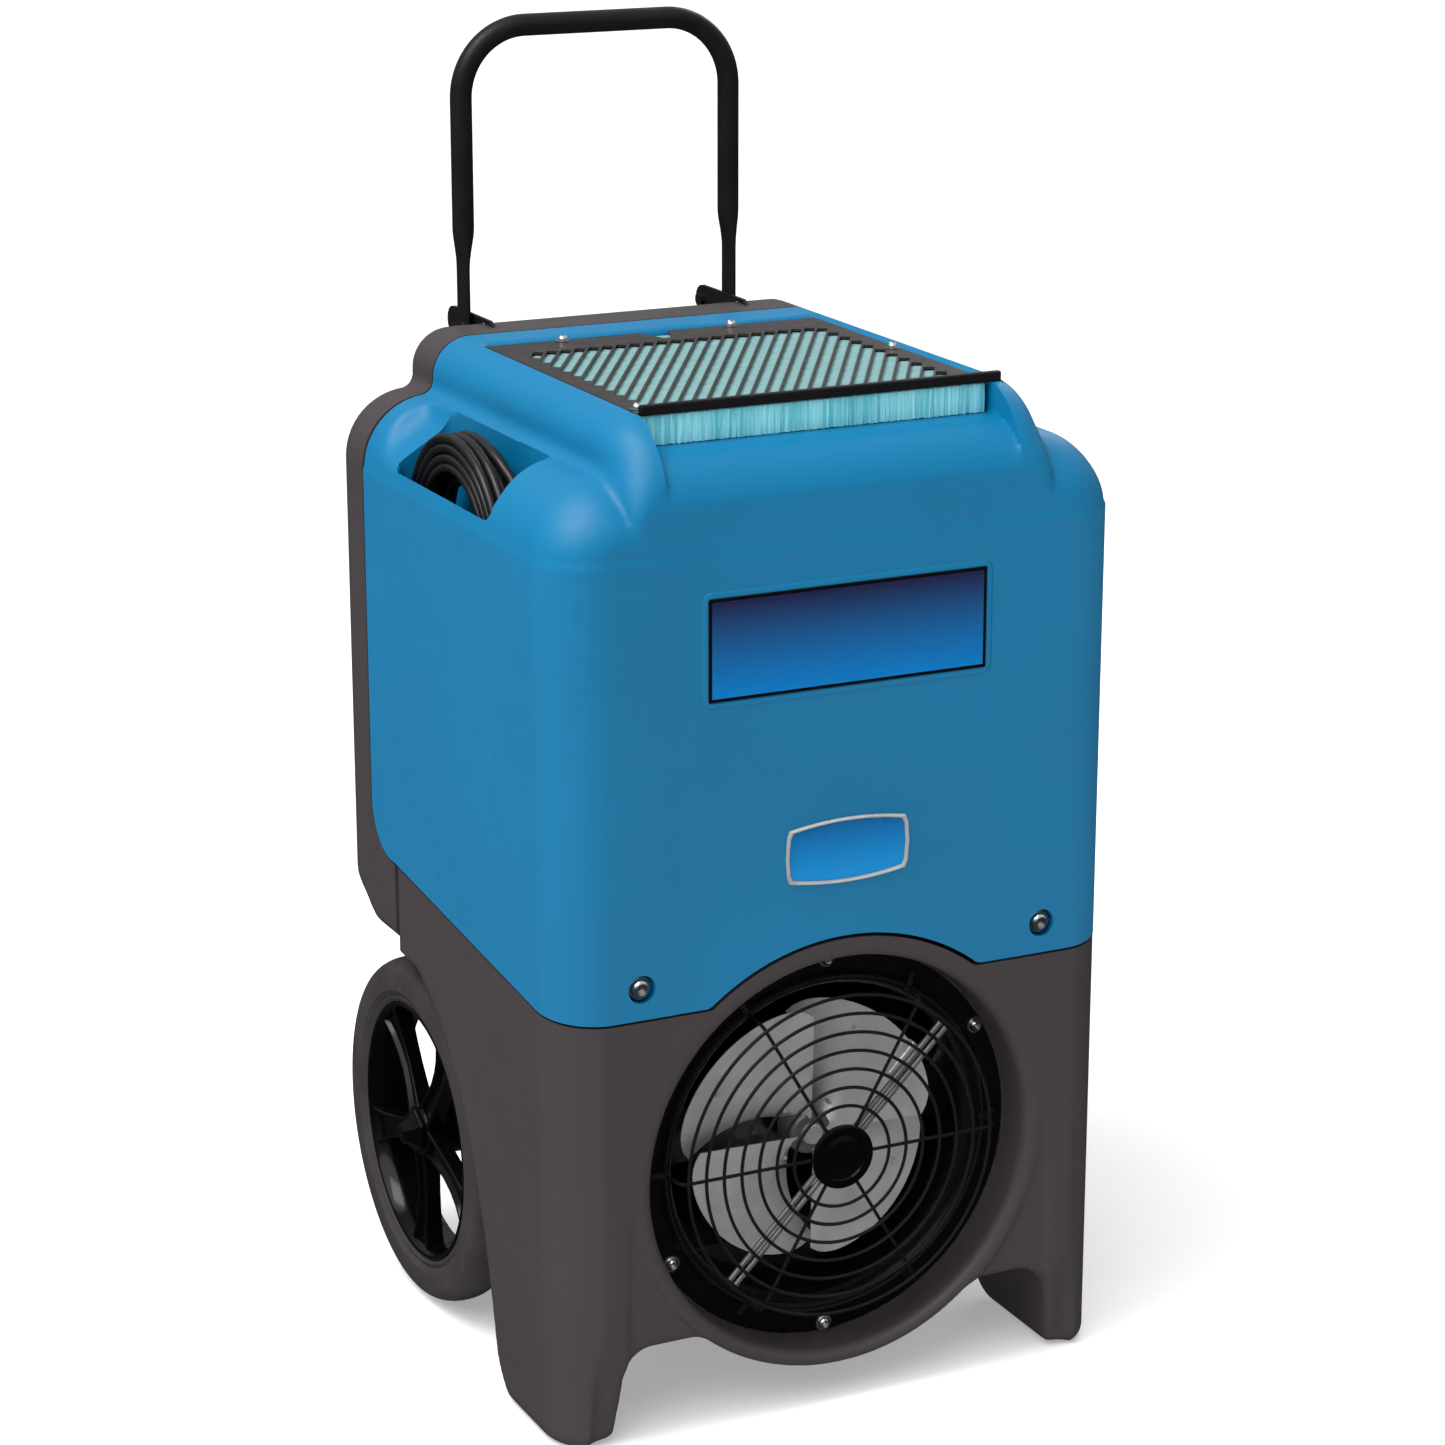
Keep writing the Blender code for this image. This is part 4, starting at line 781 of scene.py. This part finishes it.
def tube(points, radius, sides=12, closed=False, section=None):
    """A round bar along points. section(i, side, up) may give its own offsets at point i."""
    points = [Vector(p) for p in points]
    count = len(points)
    verts = []
    side = None
    for index, point in enumerate(points):
        before = points[index - 1] if index or closed else point
        after = points[(index + 1) % count] if index + 1 < count or closed else point
        way = (after - before).normalized()
        if side is None:
            side = way.cross(Vector((0.13, 0.97, 0.2))).normalized()
        side = (side - way * side.dot(way)).normalized()
        up = way.cross(side)
        for step in range(sides):
            turn = 2 * math.pi * step / sides
            offset = (math.cos(turn) * side + math.sin(turn) * up) * radius
            verts.append(point + (section(point, offset) if section else offset))
    return verts, bridge(count, sides, closed)


def loft(sections, closed=False):
    """A closed body through outlines that have the same number of points."""
    verts = [Vector(p) for section in sections for p in section]
    return verts, bridge(len(sections), len(sections[0]), closed)


def piece(name, bodies, slot, rides, replaces=(), material=None, angle=38, bevel=0.0):
    """One object made of several closed bodies. angle is where its edges stay sharp."""
    bm = bmesh.new()
    for verts, faces in bodies:
        made = [bm.verts.new(v) for v in verts]
        for face in faces:
            bm.faces.new([made[i] for i in face])
    bmesh.ops.recalc_face_normals(bm, faces=bm.faces)
    mesh = bpy.data.meshes.new(name)
    bm.to_mesh(mesh)
    bm.free()
    mesh.shade_smooth()
    mesh.set_sharp_from_angle(angle=math.radians(angle))
    obj = add(name, mesh)
    if bevel:
        edges = obj.modifiers.new("edges", "BEVEL")
        edges.width = bevel
        edges.segments = 2
        edges.limit_method = "ANGLE"
        edges.angle_limit = math.radians(40)
        edges.harden_normals = True
    if replaces:
        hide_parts(*replaces)
    return finish(obj, rides, slot, material)


def circle(centre, radius, count):
    """Points round a circle that faces the front."""
    return [centre + round_front(2 * math.pi * i / count, radius) for i in range(count)]


# ---------------- power cord

CORD_R = 0.00425
CORD_PITCH = 0.0086
LEAD = (-0.20475, 0.13795)
COIL_X = -0.2265
COIL_DEPTH = 0.234
COIL_Z = 0.7056
POCKET_FLOOR = 0.605
LAYERS = (0.0960, 0.0874, 0.0788, 0.0702)
TAIL_R = 0.05985
TAIL_BEND_R = 0.040
PLUG_DROP = 0.042
COIL_SLACK = 0.0011


def coil_turns():
    """Layer radius and place along the coil for each turn, in the order that they are wound."""
    columns = [COIL_X + CORD_PITCH * (1.5 - i) for i in range(4)]
    turns = [(LAYERS[0], x) for x in columns[1:]]
    turns += [(LAYERS[1], x) for x in reversed(columns)]
    turns += [(LAYERS[2], x) for x in columns]
    turns += [(LAYERS[3], x) for x in reversed(columns[1:])]
    return turns + [(TAIL_R, COIL_X)]


def coil_place(turn_count):
    """Place on the coil after a number of turns from the lead. Turns change over at the bottom."""
    turns = coil_turns()
    index = int(math.floor(turn_count + 0.125))
    into = turn_count + 0.125 - index
    radius, x = turns[min(index, len(turns) - 1)]
    if into > 0.75 and index + 1 < len(turns):
        share = smooth((into - 0.75) / 0.25)
        radius += (turns[index + 1][0] - radius) * share
        x += (turns[index + 1][1] - x) * share
    x = LEAD[0] + (x - LEAD[0]) * smooth(turn_count / 0.22)
    angle = 2 * math.pi * turn_count
    slack = 0.0 if index + 1 >= len(turns) else 1.0
    if turn_count < 0.125:
        slack = math.sin(math.pi * turn_count / 0.25)
    radius += slack * COIL_SLACK * math.sin(2 * angle + 0.9 * index)
    return (x, COIL_DEPTH - radius * math.cos(angle), COIL_Z + radius * math.sin(angle))


def cord_route():
    rise = [(*LEAD, POCKET_FLOOR + (COIL_Z - POCKET_FLOOR) * i / 14) for i in range(14)]
    turns = len(coil_turns()) - 0.5
    steps = int(turns * 36)
    wound = [coil_place(turns * i / steps) for i in range(steps + 1)]
    corner = (TAIL_R - TAIL_BEND_R, TAIL_BEND_R - PLUG_DROP)
    tail = []
    for index in range(1, 13):
        turn = math.radians(90 * index / 12)
        across = corner[0] + TAIL_BEND_R * math.cos(turn)
        up = corner[1] - TAIL_BEND_R * math.sin(turn)
        tail.append((COIL_X, COIL_DEPTH + across, COIL_Z + up))
    end = (COIL_X, COIL_DEPTH + corner[0] - 0.003, COIL_Z - PLUG_DROP)
    return [spot(*p) for p in rise + wound + tail + [end]]


def make_cord():
    route = cord_route()
    curve = bpy.data.curves.new("power_cord", "CURVE")
    curve.dimensions = "3D"
    curve.bevel_depth = CORD_R
    curve.bevel_resolution = 3
    curve.use_fill_caps = True
    spline = curve.splines.new("POLY")
    spline.points.add(len(route) - 1)
    for point, place in zip(spline.points, route):
        point.co = (*place, 1.0)
    spline.use_smooth = True
    cord = add("power_cord", curve)
    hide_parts("cord_lead", "cord_coil", "cord_tail")
    finish(cord, "housing", "rubber")
    relief = make_gland()


def make_gland():
    """Tapered strain relief with flexing grooves."""
    profile = [(0.0048, 0.0360), (0.0058, 0.0357)]
    for index in range(6):
        height = 0.0325 - index * 0.0042
        radius = 0.0062 + index * 0.00030
        profile += [(radius, height), (radius, height - 0.0022)]
        profile += [(radius - 0.0008, height - 0.0026), (radius - 0.0008, height - 0.0038)]
    profile += [(0.0082, 0.0060), (0.0082, 0.0004), (0.0060, 0.0004)]
    profile += [(0.0060, -0.0090), (0.0048, -0.0090)]
    body = lathe("z", spot(*LEAD, POCKET_FLOOR), profile, 40, True)
    return piece("strain_relief", [body], "rubber", "housing", ["cord_gland"])


# ---------------- label, badge, bolts and screws


BADGE_Z = 0.488


def badge_outline(half, crown, count=14):
    """A barrel-shaped badge: crowned top and bottom, and sides that lean out."""
    top = []
    for index in range(count + 1):
        x = (half - 0.0035) * (1 - 2 * index / count)
        top.append((x, BADGE_Z + crown - 0.0055 * (x / half) ** 2))
    side = [(0.0012 - half, BADGE_Z + crown * 0.62), (-half, BADGE_Z)]
    side.append((0.0012 - half, BADGE_Z - crown * 0.62))
    return top + side + [(-x, 2 * BADGE_Z - z) for x, z in top + side]


def sloped_plate(outlines, closed=False):
    """A body through outlines of (x, z) points, each at its own depth."""
    return loft([[spot(x, d, z) for x, z in outline] for outline, d in outlines], closed)


def rounded_outline(half, bottom, top, r, count=6):
    """Points round a rectangle with round corners, as (x, z)."""
    outline = []
    for turn, x, z in ((0, half, top), (90, -half, top), (180, -half, bottom), (270, half, bottom)):
        middle_x, middle_z = x - math.copysign(r, x), z - r if z == top else z + r
        for index in range(count + 1):
            angle = math.radians(turn + 90 * index / count)
            outline.append((middle_x + r * math.cos(angle), middle_z + r * math.sin(angle)))
    return outline


def make_label_bed():
    """The soft raised border that the moulding has round the label."""
    low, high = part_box("label_plate")
    rows = [(0.0060, 0.0010), (0.0056, -0.0001), (0.0034, -0.0010), (0.0012, -0.0009), (0.0002, 0.0010)]
    outlines = []
    for grow, depth in rows:
        outline = rounded_outline(high.x + grow, low.z - grow, high.z + grow, 0.003 + grow)
        outlines.append((outline, depth))
    piece("label_bed", [sloped_plate(outlines, True)], "housing_blue", "housing", angle=50)


def make_label():
    """Blank label in its dark border. The real one carries lettering, which is left out."""
    low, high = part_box("label_plate")
    for name, edge, depth, material, covers in (
        ("label_border", 0.0, -0.0006, MATERIALS["black_plastic"], ()),
        ("label_face", 0.0028, -0.0009, MATERIALS["label_blue"], ["label_plate"]),
    ):
        x, bottom, top = high.x - edge, low.z + edge, high.z - edge
        outline = [(-x, bottom), (x, bottom), (x, top), (-x, top)]
        body = sloped_plate([(outline, depth), (outline, 0.0012)])
        piece(name, [body], "label_blue", "housing", covers, material, 30, 0.0003)


def make_badge():
    """Blank badge in its bright rim."""
    rows = [(0.0560, 0.0275, 0.0010), (0.0556, 0.0271, -0.0016), (0.0546, 0.0262, -0.0024)]
    rows += [(0.0532, 0.0250, -0.0018), (0.0524, 0.0242, 0.0002), (0.0524, 0.0242, 0.0010)]
    ring = sloped_plate([(badge_outline(half, crown), depth) for half, crown, depth in rows], True)
    piece("badge_rim", [ring], "zinc_steel", "housing", ["badge_frame"], BRIGHT, 30)
    outline = badge_outline(0.0525, 0.0243)
    plate = sloped_plate([(outline, 0.0012), (outline, -0.0004)])
    piece("badge_face", [plate], "label_blue", "housing", ["badge_plate"], BADGE, 30)


def screw_head(centre, way, radius, height, socket=0.42):
    """A domed head with a hexagonal socket."""
    inner = radius * socket
    profile = [(inner, height * 0.35), (inner, height * 0.93), (radius * 0.62, height)]
    profile += [(radius * 0.88, height * 0.78), (radius, height * 0.40), (radius, 0.0), (0.0, 0.0)]
    sign = -1 if way == "-y" else 1
    turned = [(0.0, height * 0.35)] + profile
    return lathe(way[-1], centre, [(r, sign * h) for r, h in turned], 36)


def make_screws():
    """Heads and washers of the screws and of the two bolts."""
    for index in range(1, 5):
        node = f"grille_screw_{index}"
        low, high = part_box(node)
        middle = Vector(((low.x + high.x) / 2, (low.y + high.y) / 2, low.z))
        washer = [(0.0, 0.0008), (0.0056, 0.0008), (0.0056, 0.0), (0.0, 0.0)]
        bodies = [screw_head(middle, "z", 0.0044, 0.0046), lathe("z", middle, washer, 36)]
        piece(f"grille_screw_head_{index}", bodies, "zinc_steel", "housing", [node])
        node = f"shroud_screw_{index}"
        low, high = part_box(node)
        middle = Vector(((low.x + high.x) / 2, high.y, (low.z + high.z) / 2))
        washer = [(0.0, -0.001), (0.0072, -0.001), (0.0072, 0.0), (0.0, 0.0)]
        bodies = [screw_head(middle, "-y", 0.0054, 0.0052), lathe("y", middle, washer, 36)]
        piece(f"shroud_screw_head_{index}", bodies, "zinc_steel", "housing", [node])
    for side in ("left", "right"):
        node = "housing_bolt_" + side
        low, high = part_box(node)
        middle = Vector(((low.x + high.x) / 2, FRONT_Y + 0.0058, (low.z + high.z) / 2))
        washer = [(0.0, -0.0014), (0.0096, -0.0014), (0.0100, -0.0008), (0.0100, 0.0006), (0.0, 0.0006)]
        bodies = [screw_head(middle, "-y", 0.0082, 0.0062, 0.46), lathe("y", middle, washer, 48)]
        piece("housing_bolt_head_" + side, bodies, "zinc_steel", "housing", [node])


# ---------------- filter


def make_top():
    """Filter pad, with the fringe of strands that shows below the retaining bar."""
    low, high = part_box("air_filter")
    columns = 380
    noise = np.random.default_rng(7)
    reach = np.repeat(noise.uniform(0.0, 0.0012, columns // 2 + 2), 2)[: columns + 1]
    drop = np.repeat(noise.uniform(0.0, 0.0007, columns // 2 + 2), 2)[: columns + 1]
    sections = []
    for index in range(columns + 1):
        x = low.x + (high.x - low.x) * index / columns
        front = low.y + float(reach[index])
        rows = [(front + 0.0004, high.z - 0.0004), (front, (low.z + high.z) / 2)]
        rows += [(front + 0.0003, low.z + float(drop[index])), (low.y + 0.010, low.z + 0.0003)]
        rows.append((low.y + 0.010, high.z - 0.0004))
        sections.append([(x, y, z) for y, z in rows])
    piece("filter_fringe", [loft(sections)], "filter_media", "filter", (), STRANDS, 60)
    rows, lines = 24, []
    for index in range(rows + 1):
        y = low.y + 0.0096 + (high.y - low.y - 0.0096) * index / rows
        dip = 0.0007 * (index % 2)
        lines.append(
            [(low.x, y, low.z), (high.x, y, low.z), (high.x, y, high.z - dip), (low.x, y, high.z - dip)]
        )
    piece("filter_pad", [loft(lines)], "filter_media", "filter", ["air_filter"], angle=30)


# ---------------- wheels

SPOKES = 5
SPOKE_REAR = 0.2210


def tyre_profile():
    """Round-shouldered tyre with a raised bead where it meets the rim."""
    outer, inner = 0.2462, 0.1978
    middle, half = (outer + inner) / 2, (outer - inner) / 2
    profile = [(0.1160, middle - 0.018), (0.1160, middle + 0.018), (0.1168, outer - 0.0062)]
    profile += [(0.1188, outer - 0.0042), (0.1206, outer - 0.0048), (0.1218, outer - 0.0056)]
    crown = []
    for index in range(25):
        turn = math.radians(72 - 6 * index)
        crown.append((0.1330 + 0.0209 * math.cos(turn) ** 0.62, middle + half * math.sin(turn)))
    profile += [(0.1262, outer - 0.0014)] + crown + [(0.1262, inner + 0.0014)]
    return profile + [(0.1218, inner + 0.0056), (0.1168, inner + 0.0062)]


def spoke_body(angle):
    """A channel-shaped spoke: two ridges with a hollow between them."""
    sections = []
    for share in (0.0, 0.12, 0.25, 0.45, 0.65, 0.82, 0.93, 1.0):
        radius = 0.017 + 0.0905 * share
        waist = 0.0030 * math.sin(math.pi * min(1, share * 1.15))
        half = 0.0135 - waist + 0.0035 * max(0, share - 0.85) / 0.15
        face = 0.2375 - 0.0035 * math.sin(math.pi * share) + 0.0010 * share
        ridge = [(half, SPOKE_REAR), (half, face - 0.001), (half - 0.0012, face), (half - 0.0032, face)]
        ridge.append((half - 0.0052, face - 0.0045))
        outline = [(-t, h) for t, h in ridge] + ridge[::-1]
        out = Vector((0, math.cos(angle), math.sin(angle)))
        across = Vector((0, -math.sin(angle), math.cos(angle)))
        middle = spot(0, WHEEL_DEPTH, WHEEL_Z)
        sections.append([middle + out * radius + across * t + Vector((h, 0, 0)) for t, h in outline])
    return loft(sections)


def mirrored(body):
    verts, faces = body
    return [Vector((-v.x, v.y, v.z)) for v in verts], faces


def make_wheels():
    middle = spot(0, WHEEL_DEPTH, WHEEL_Z)
    steps = 144
    rim = [(0.1157, 0.2400), (0.1157, 0.2030), (0.1120, 0.2000), (0.1085, 0.2022), (0.1070, 0.2060)]
    rim += [(0.1045, 0.2180), (0.1060, 0.2290), (0.1085, 0.2365), (0.1115, 0.2405), (0.1140, 0.2412)]
    hub = [(0.0083, 0.2370), (0.0220, 0.2370), (0.0236, 0.2350), (0.0245, 0.1960), (0.0230, 0.1925)]
    hub += [(0.0083, 0.1925)]
    bodies = [lathe("x", middle, rim, steps, True), lathe("x", middle, hub, 60, True)]
    bodies += [spoke_body(math.radians(-90) + 2 * math.pi * i / SPOKES) for i in range(SPOKES)]
    tyre = lathe("x", middle, tyre_profile(), steps, True)
    cap = [(0.0, 0.2535), (0.0068, 0.2535), (0.0085, 0.2525), (0.0150, 0.2440), (0.0205, 0.2405)]
    cap = lathe("x", middle, cap + [(0.0205, 0.2372), (0.0, 0.2372)], 6)
    for name, mirror in (("left", True), ("right", False)):
        body = name + "_wheel"
        rims, tyres, caps = bodies, [tyre], [cap]
        if mirror:
            rims, tyres, caps = ([mirrored(b) for b in made] for made in (rims, tyres, caps))
        piece("spoked_rim_" + name, rims, "black_plastic", body, ["rim_" + name], GLOSS, 30, 0.0006)
        piece("soft_tyre_" + name, tyres, "tyre", body, ["tyre_" + name], angle=30)
        piece("hub_cover_" + name, caps, "black_plastic", body, ["hub_cap_" + name], GLOSS, 30, 0.0008)


# ---------------- handle

HANDLE_HALF = 0.1275
HANDLE_R = 0.0095
HANDLE_BEND_R = 0.060
HANDLE_DEPTH = 0.482
HANDLE_TOP = 1.110
PIVOT_Z = 0.838
FLAT_TOP_Z = 0.893
ROUND_FROM_Z = 0.930


def handle_section(point, offset):
    """Flattens the tube's lower ends towards its outer side."""
    share = smooth((ROUND_FROM_Z - point.z) / (ROUND_FROM_Z - FLAT_TOP_Z))
    narrow = 1 + share * (0.0040 / HANDLE_R - 1)
    wide = 1 + share * (0.0118 / HANDLE_R - 1)
    return Vector((offset.x * narrow + math.copysign(0.0008 * share, point.x), offset.y * wide, offset.z))


def make_handle():
    high = HANDLE_TOP - HANDLE_R - HANDLE_BEND_R
    corner = HANDLE_HALF - HANDLE_BEND_R
    left = [(-HANDLE_HALF, PIVOT_Z + (high - PIVOT_Z) * i / 44) for i in range(44)]
    for index in range(25):
        turn = math.radians(180 - 90 * index / 24)
        left.append((-corner + HANDLE_BEND_R * math.cos(turn), high + HANDLE_BEND_R * math.sin(turn)))
    half = [spot(x, HANDLE_DEPTH, z) for x, z in left]
    points = half + [Vector((-p.x, p.y, p.z)) for p in reversed(half)]
    bar = tube(points, HANDLE_R, 28, False, handle_section)
    eyes = []
    for side in (-1, 1):
        centre = spot(side * (HANDLE_HALF + 0.0008), HANDLE_DEPTH, PIVOT_Z)
        profile = [(0.0044, -0.0040), (0.0108, -0.0040), (0.0117, -0.0030), (0.0117, 0.0030)]
        profile += [(0.0108, 0.0040), (0.0044, 0.0040)]
        eyes.append(lathe("x", centre, profile, 48, True))
    piece("push_handle", [bar] + eyes, "black_steel", "handle", ["handle"], angle=40)


# ---------------- fan, guard and shroud

GUARD_DEPTH = 0.0045
GUARD_WIRE_R = 0.0015
GUARD_RINGS = 7
GUARD_SPOKES = 6
BRACE_DEPTH = 0.0118
BRACE_HALF = 0.137


def make_fan_front():
    """Guard of wire rings and bent spokes, with its centre disc, and what stands behind it."""
    axis = spot(0, 0, FAN_Z)
    count = 120
    wires = []
    for index in range(GUARD_RINGS):
        ring = circle(axis + Vector((0, GUARD_DEPTH, 0)), 0.044 + 0.016 * index, count)
        wires.append(tube(ring, GUARD_WIRE_R, 8, True))
    wires.append(tube(circle(axis + Vector((0, 0.0318, 0)), 0.1478, count), 0.0014, 8, True))
    behind = GUARD_DEPTH + GUARD_WIRE_R * 1.3
    stops = [(0.016, behind), (0.139, behind), (0.1425, behind + 0.0006), (0.1448, 0.0085)]
    stops += [(0.1462, 0.0120), (0.1475, 0.0200), (0.1482, 0.0345)]
    foot = [(0.1455, 0.0300), (0.1600, 0.0352)]
    for index in range(GUARD_SPOKES):
        turn = 2 * math.pi * index / GUARD_SPOKES
        for places, wire_r in ((stops, GUARD_WIRE_R), (foot, 0.0030)):
            wires.append(tube([axis + round_front(turn, r, d) for r, d in places], wire_r, 8))
    plate = [(0.0, -0.0013), (0.0262, -0.0013), (0.0262, 0.0013), (0.0, 0.0013)]
    plate = [(radius, behind + height) for radius, height in plate]
    wires.append(lathe("y", axis, plate, 60))
    piece("wire_guard", wires, "black_steel", "housing", ["fan_guard"], angle=40)
    disc = [(0.0, 0.0006), (0.0125, 0.0007), (0.0160, 0.0014), (0.0180, 0.0028), (0.0198, 0.0030)]
    disc += [(0.0210, 0.0018), (0.0262, 0.0014), (0.0278, 0.0024), (0.0278, 0.0047), (0.0, 0.0047)]
    disc = lathe("y", axis, disc, 72)
    piece("guard_centre", [disc], "black_plastic", "housing", ["guard_disc"], GLOSS, 30)
    make_shroud(axis)
    make_brace(axis)


def make_brace(axis):
    """Two thin tubes side by side across the guard, with a clip near their upper end."""
    along, across = round_front(math.radians(45)), round_front(math.radians(135))
    middle = axis + Vector((0, BRACE_DEPTH, 0))
    rods = []
    for side in (-1, 1):
        ends = [middle + along * (BRACE_HALF * way) + across * (0.0036 * side) for way in (-1, 1)]
        rods.append(tube(ends, 0.0024, 16))
    # The tubes are light grey zinc, darkened here with painted shade.
    piece("guard_brace", rods, "zinc_steel", "housing", ["guard_brace_bar"], ZINC_PAINTED_SHADE, 40)
    place = middle + along * 0.094 + Vector((0, 0.0030, 0))
    sections = []
    for depth, grow in ((0.0, -0.0012), (0.0012, 0.0), (0.0085, 0.0), (0.0092, -0.0008)):
        half_length, half_width = 0.017 + grow, 0.0095 + grow
        corners = ((-1, -1), (1, -1), (1, 1), (-1, 1))
        section = [place + along * (half_length * a) + across * (half_width * b) for a, b in corners]
        sections.append([p + Vector((0, depth, 0)) for p in section])
    piece("brace_clip", [loft(sections)], "zinc_steel", "housing", (), BRIGHT, 40, 0.0008)


def make_shroud(axis):
    """Flange, throat and the four blocks under the screws."""
    ring = [(0.1696, 0.0384), (0.1696, 0.0368), (0.1560, 0.0364), (0.1525, 0.0358), (0.1508, 0.0336)]
    ring += [(0.1490, 0.0322), (0.1462, 0.0320), (0.1440, 0.0330), (0.1420, 0.0352), (0.1402, 0.0385)]
    ring += [(0.1385, 0.0430), (0.1372, 0.0500), (0.1370, 0.0998), (0.1398, 0.0998), (0.1398, 0.0470)]
    ring += [(0.1430, 0.0400), (0.1460, 0.0388)]
    bodies = [lathe("y", axis, ring, 160, True)]
    for angle in (30, 90, 210, 270):
        out, side = round_front(math.radians(angle)), round_front(math.radians(angle + 90))
        sections = []
        for height, grow in ((0.0370, 0.0), (0.0364, 0.0), (0.0362, -0.0005)):
            corners = [(-0.0105, -0.0085), (0.0045, -0.0100), (0.0045, 0.0100), (-0.0105, 0.0085)]
            places = [axis + out * (0.163 + a * (1 + grow)) + side * b for a, b in corners]
            sections.append([p + Vector((0, height, 0)) for p in places])
        bodies.append(loft(sections))
    piece("fan_ring", bodies, "black_plastic", "housing", ["fan_shroud"], angle=30)


BLADES = 4
BLADE_ROOT_SWEEP = math.radians(56)
BLADE_TIP_SWEEP = math.radians(98)
BLADE_LEAN = 0.30
BLADE_START = math.radians(40)
RIVETS = ((0.030, 0.10), (0.040, -0.10), (0.094, 0.38), (0.096, -0.36), (0.100, 0.0))


def blade(start, depth):
    """A wide, cambered blade of thin sheet: narrow at its root, and round outer corners."""
    rows, columns, thick = 18, 26, 0.0012
    front, back = [], []
    for row in range(rows + 1):
        out = row / rows
        line_front, line_back = [], []
        for column in range(columns + 1):
            share = column / columns
            corner = 1 - abs(2 * share - 1) ** 7
            radius = 0.014 + (0.0900 + 0.0105 * corner) * out
            sweep = BLADE_ROOT_SWEEP + (BLADE_TIP_SWEEP - BLADE_ROOT_SWEEP) * out**0.8
            angle = start + BLADE_LEAN * (out - 0.5) + sweep * (share - 0.5)
            place = depth + 0.024 * (share - 0.5) - 0.005 * math.sin(math.pi * share)
            spot_front = spot(radius * math.cos(angle), place, FAN_Z + radius * math.sin(angle))
            line_front.append(spot_front)
            line_back.append(spot_front + Vector((0, thick, 0)))
        front.append(line_front)
        back.append(line_back)
    width = columns + 1
    verts = [p for line in front + back for p in line]
    shift = width * (rows + 1)
    faces = []
    for row in range(rows):
        for column in range(columns):
            a = row * width + column
            quad = (a, a + 1, a + 1 + width, a + width)
            faces += [quad, tuple(i + shift for i in reversed(quad))]
    rim = list(range(width))
    rim += [r * width + columns for r in range(1, rows + 1)]
    rim += [rows * width + c for c in range(columns - 1, -1, -1)]
    rim += [r * width for r in range(rows - 1, 0, -1)]
    for index, a in enumerate(rim):
        b = rim[(index + 1) % len(rim)]
        faces.append((a, b, b + shift, a + shift))
    return verts, faces


def make_fan():
    """Fan wheel: riveted sheet blades on a hub with a bright nut in front."""
    low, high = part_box("fan_blades")
    depth = (low.y + high.y) / 2 - FRONT_Y
    axis = spot(0, depth, FAN_Z)
    starts = [BLADE_START + 2 * math.pi * i / BLADES for i in range(BLADES)]
    bodies = [blade(start, depth) for start in starts]
    hub = [(0.0, -0.0105), (0.0165, -0.0105), (0.0185, -0.0090), (0.0200, -0.0040)]
    hub += [(0.0200, 0.0145), (0.0050, 0.0145), (0.0050, -0.0040), (0.0, -0.0040)]
    # The hub takes the same zinc darkened with painted shade.
    piece("fan_hub", [lathe("y", axis, hub, 60)], "aluminium", "fan", (), ZINC_PAINTED_SHADE, 35)
    nut = [(0.0, -0.0150), (0.0070, -0.0150), (0.0090, -0.0136), (0.0094, -0.0105), (0.0, -0.0105)]
    piece("fan_nut", [lathe("y", axis, nut, 40)], "aluminium", "fan", (), BRIGHT, 35)
    rivet = [(0.0, -0.0140), (0.0016, -0.0136), (0.0022, -0.0120), (0.0022, 0.0), (0.0, 0.0)]
    for start in starts:
        for radius, offset in RIVETS:
            bodies.append(lathe("y", axis + round_front(start + offset, radius, 0.010), rivet, 16))
    piece("fan_wheel", bodies, "aluminium", "fan", ["fan_blades"], angle=35)


make_camera()
make_studio()
dress_frame()
make_cord()
make_hood()
make_base()
make_rear()
make_label_bed()
make_label()
make_badge()
make_screws()
make_top()
make_wheels()
make_handle()
make_fan_front()
make_fan()
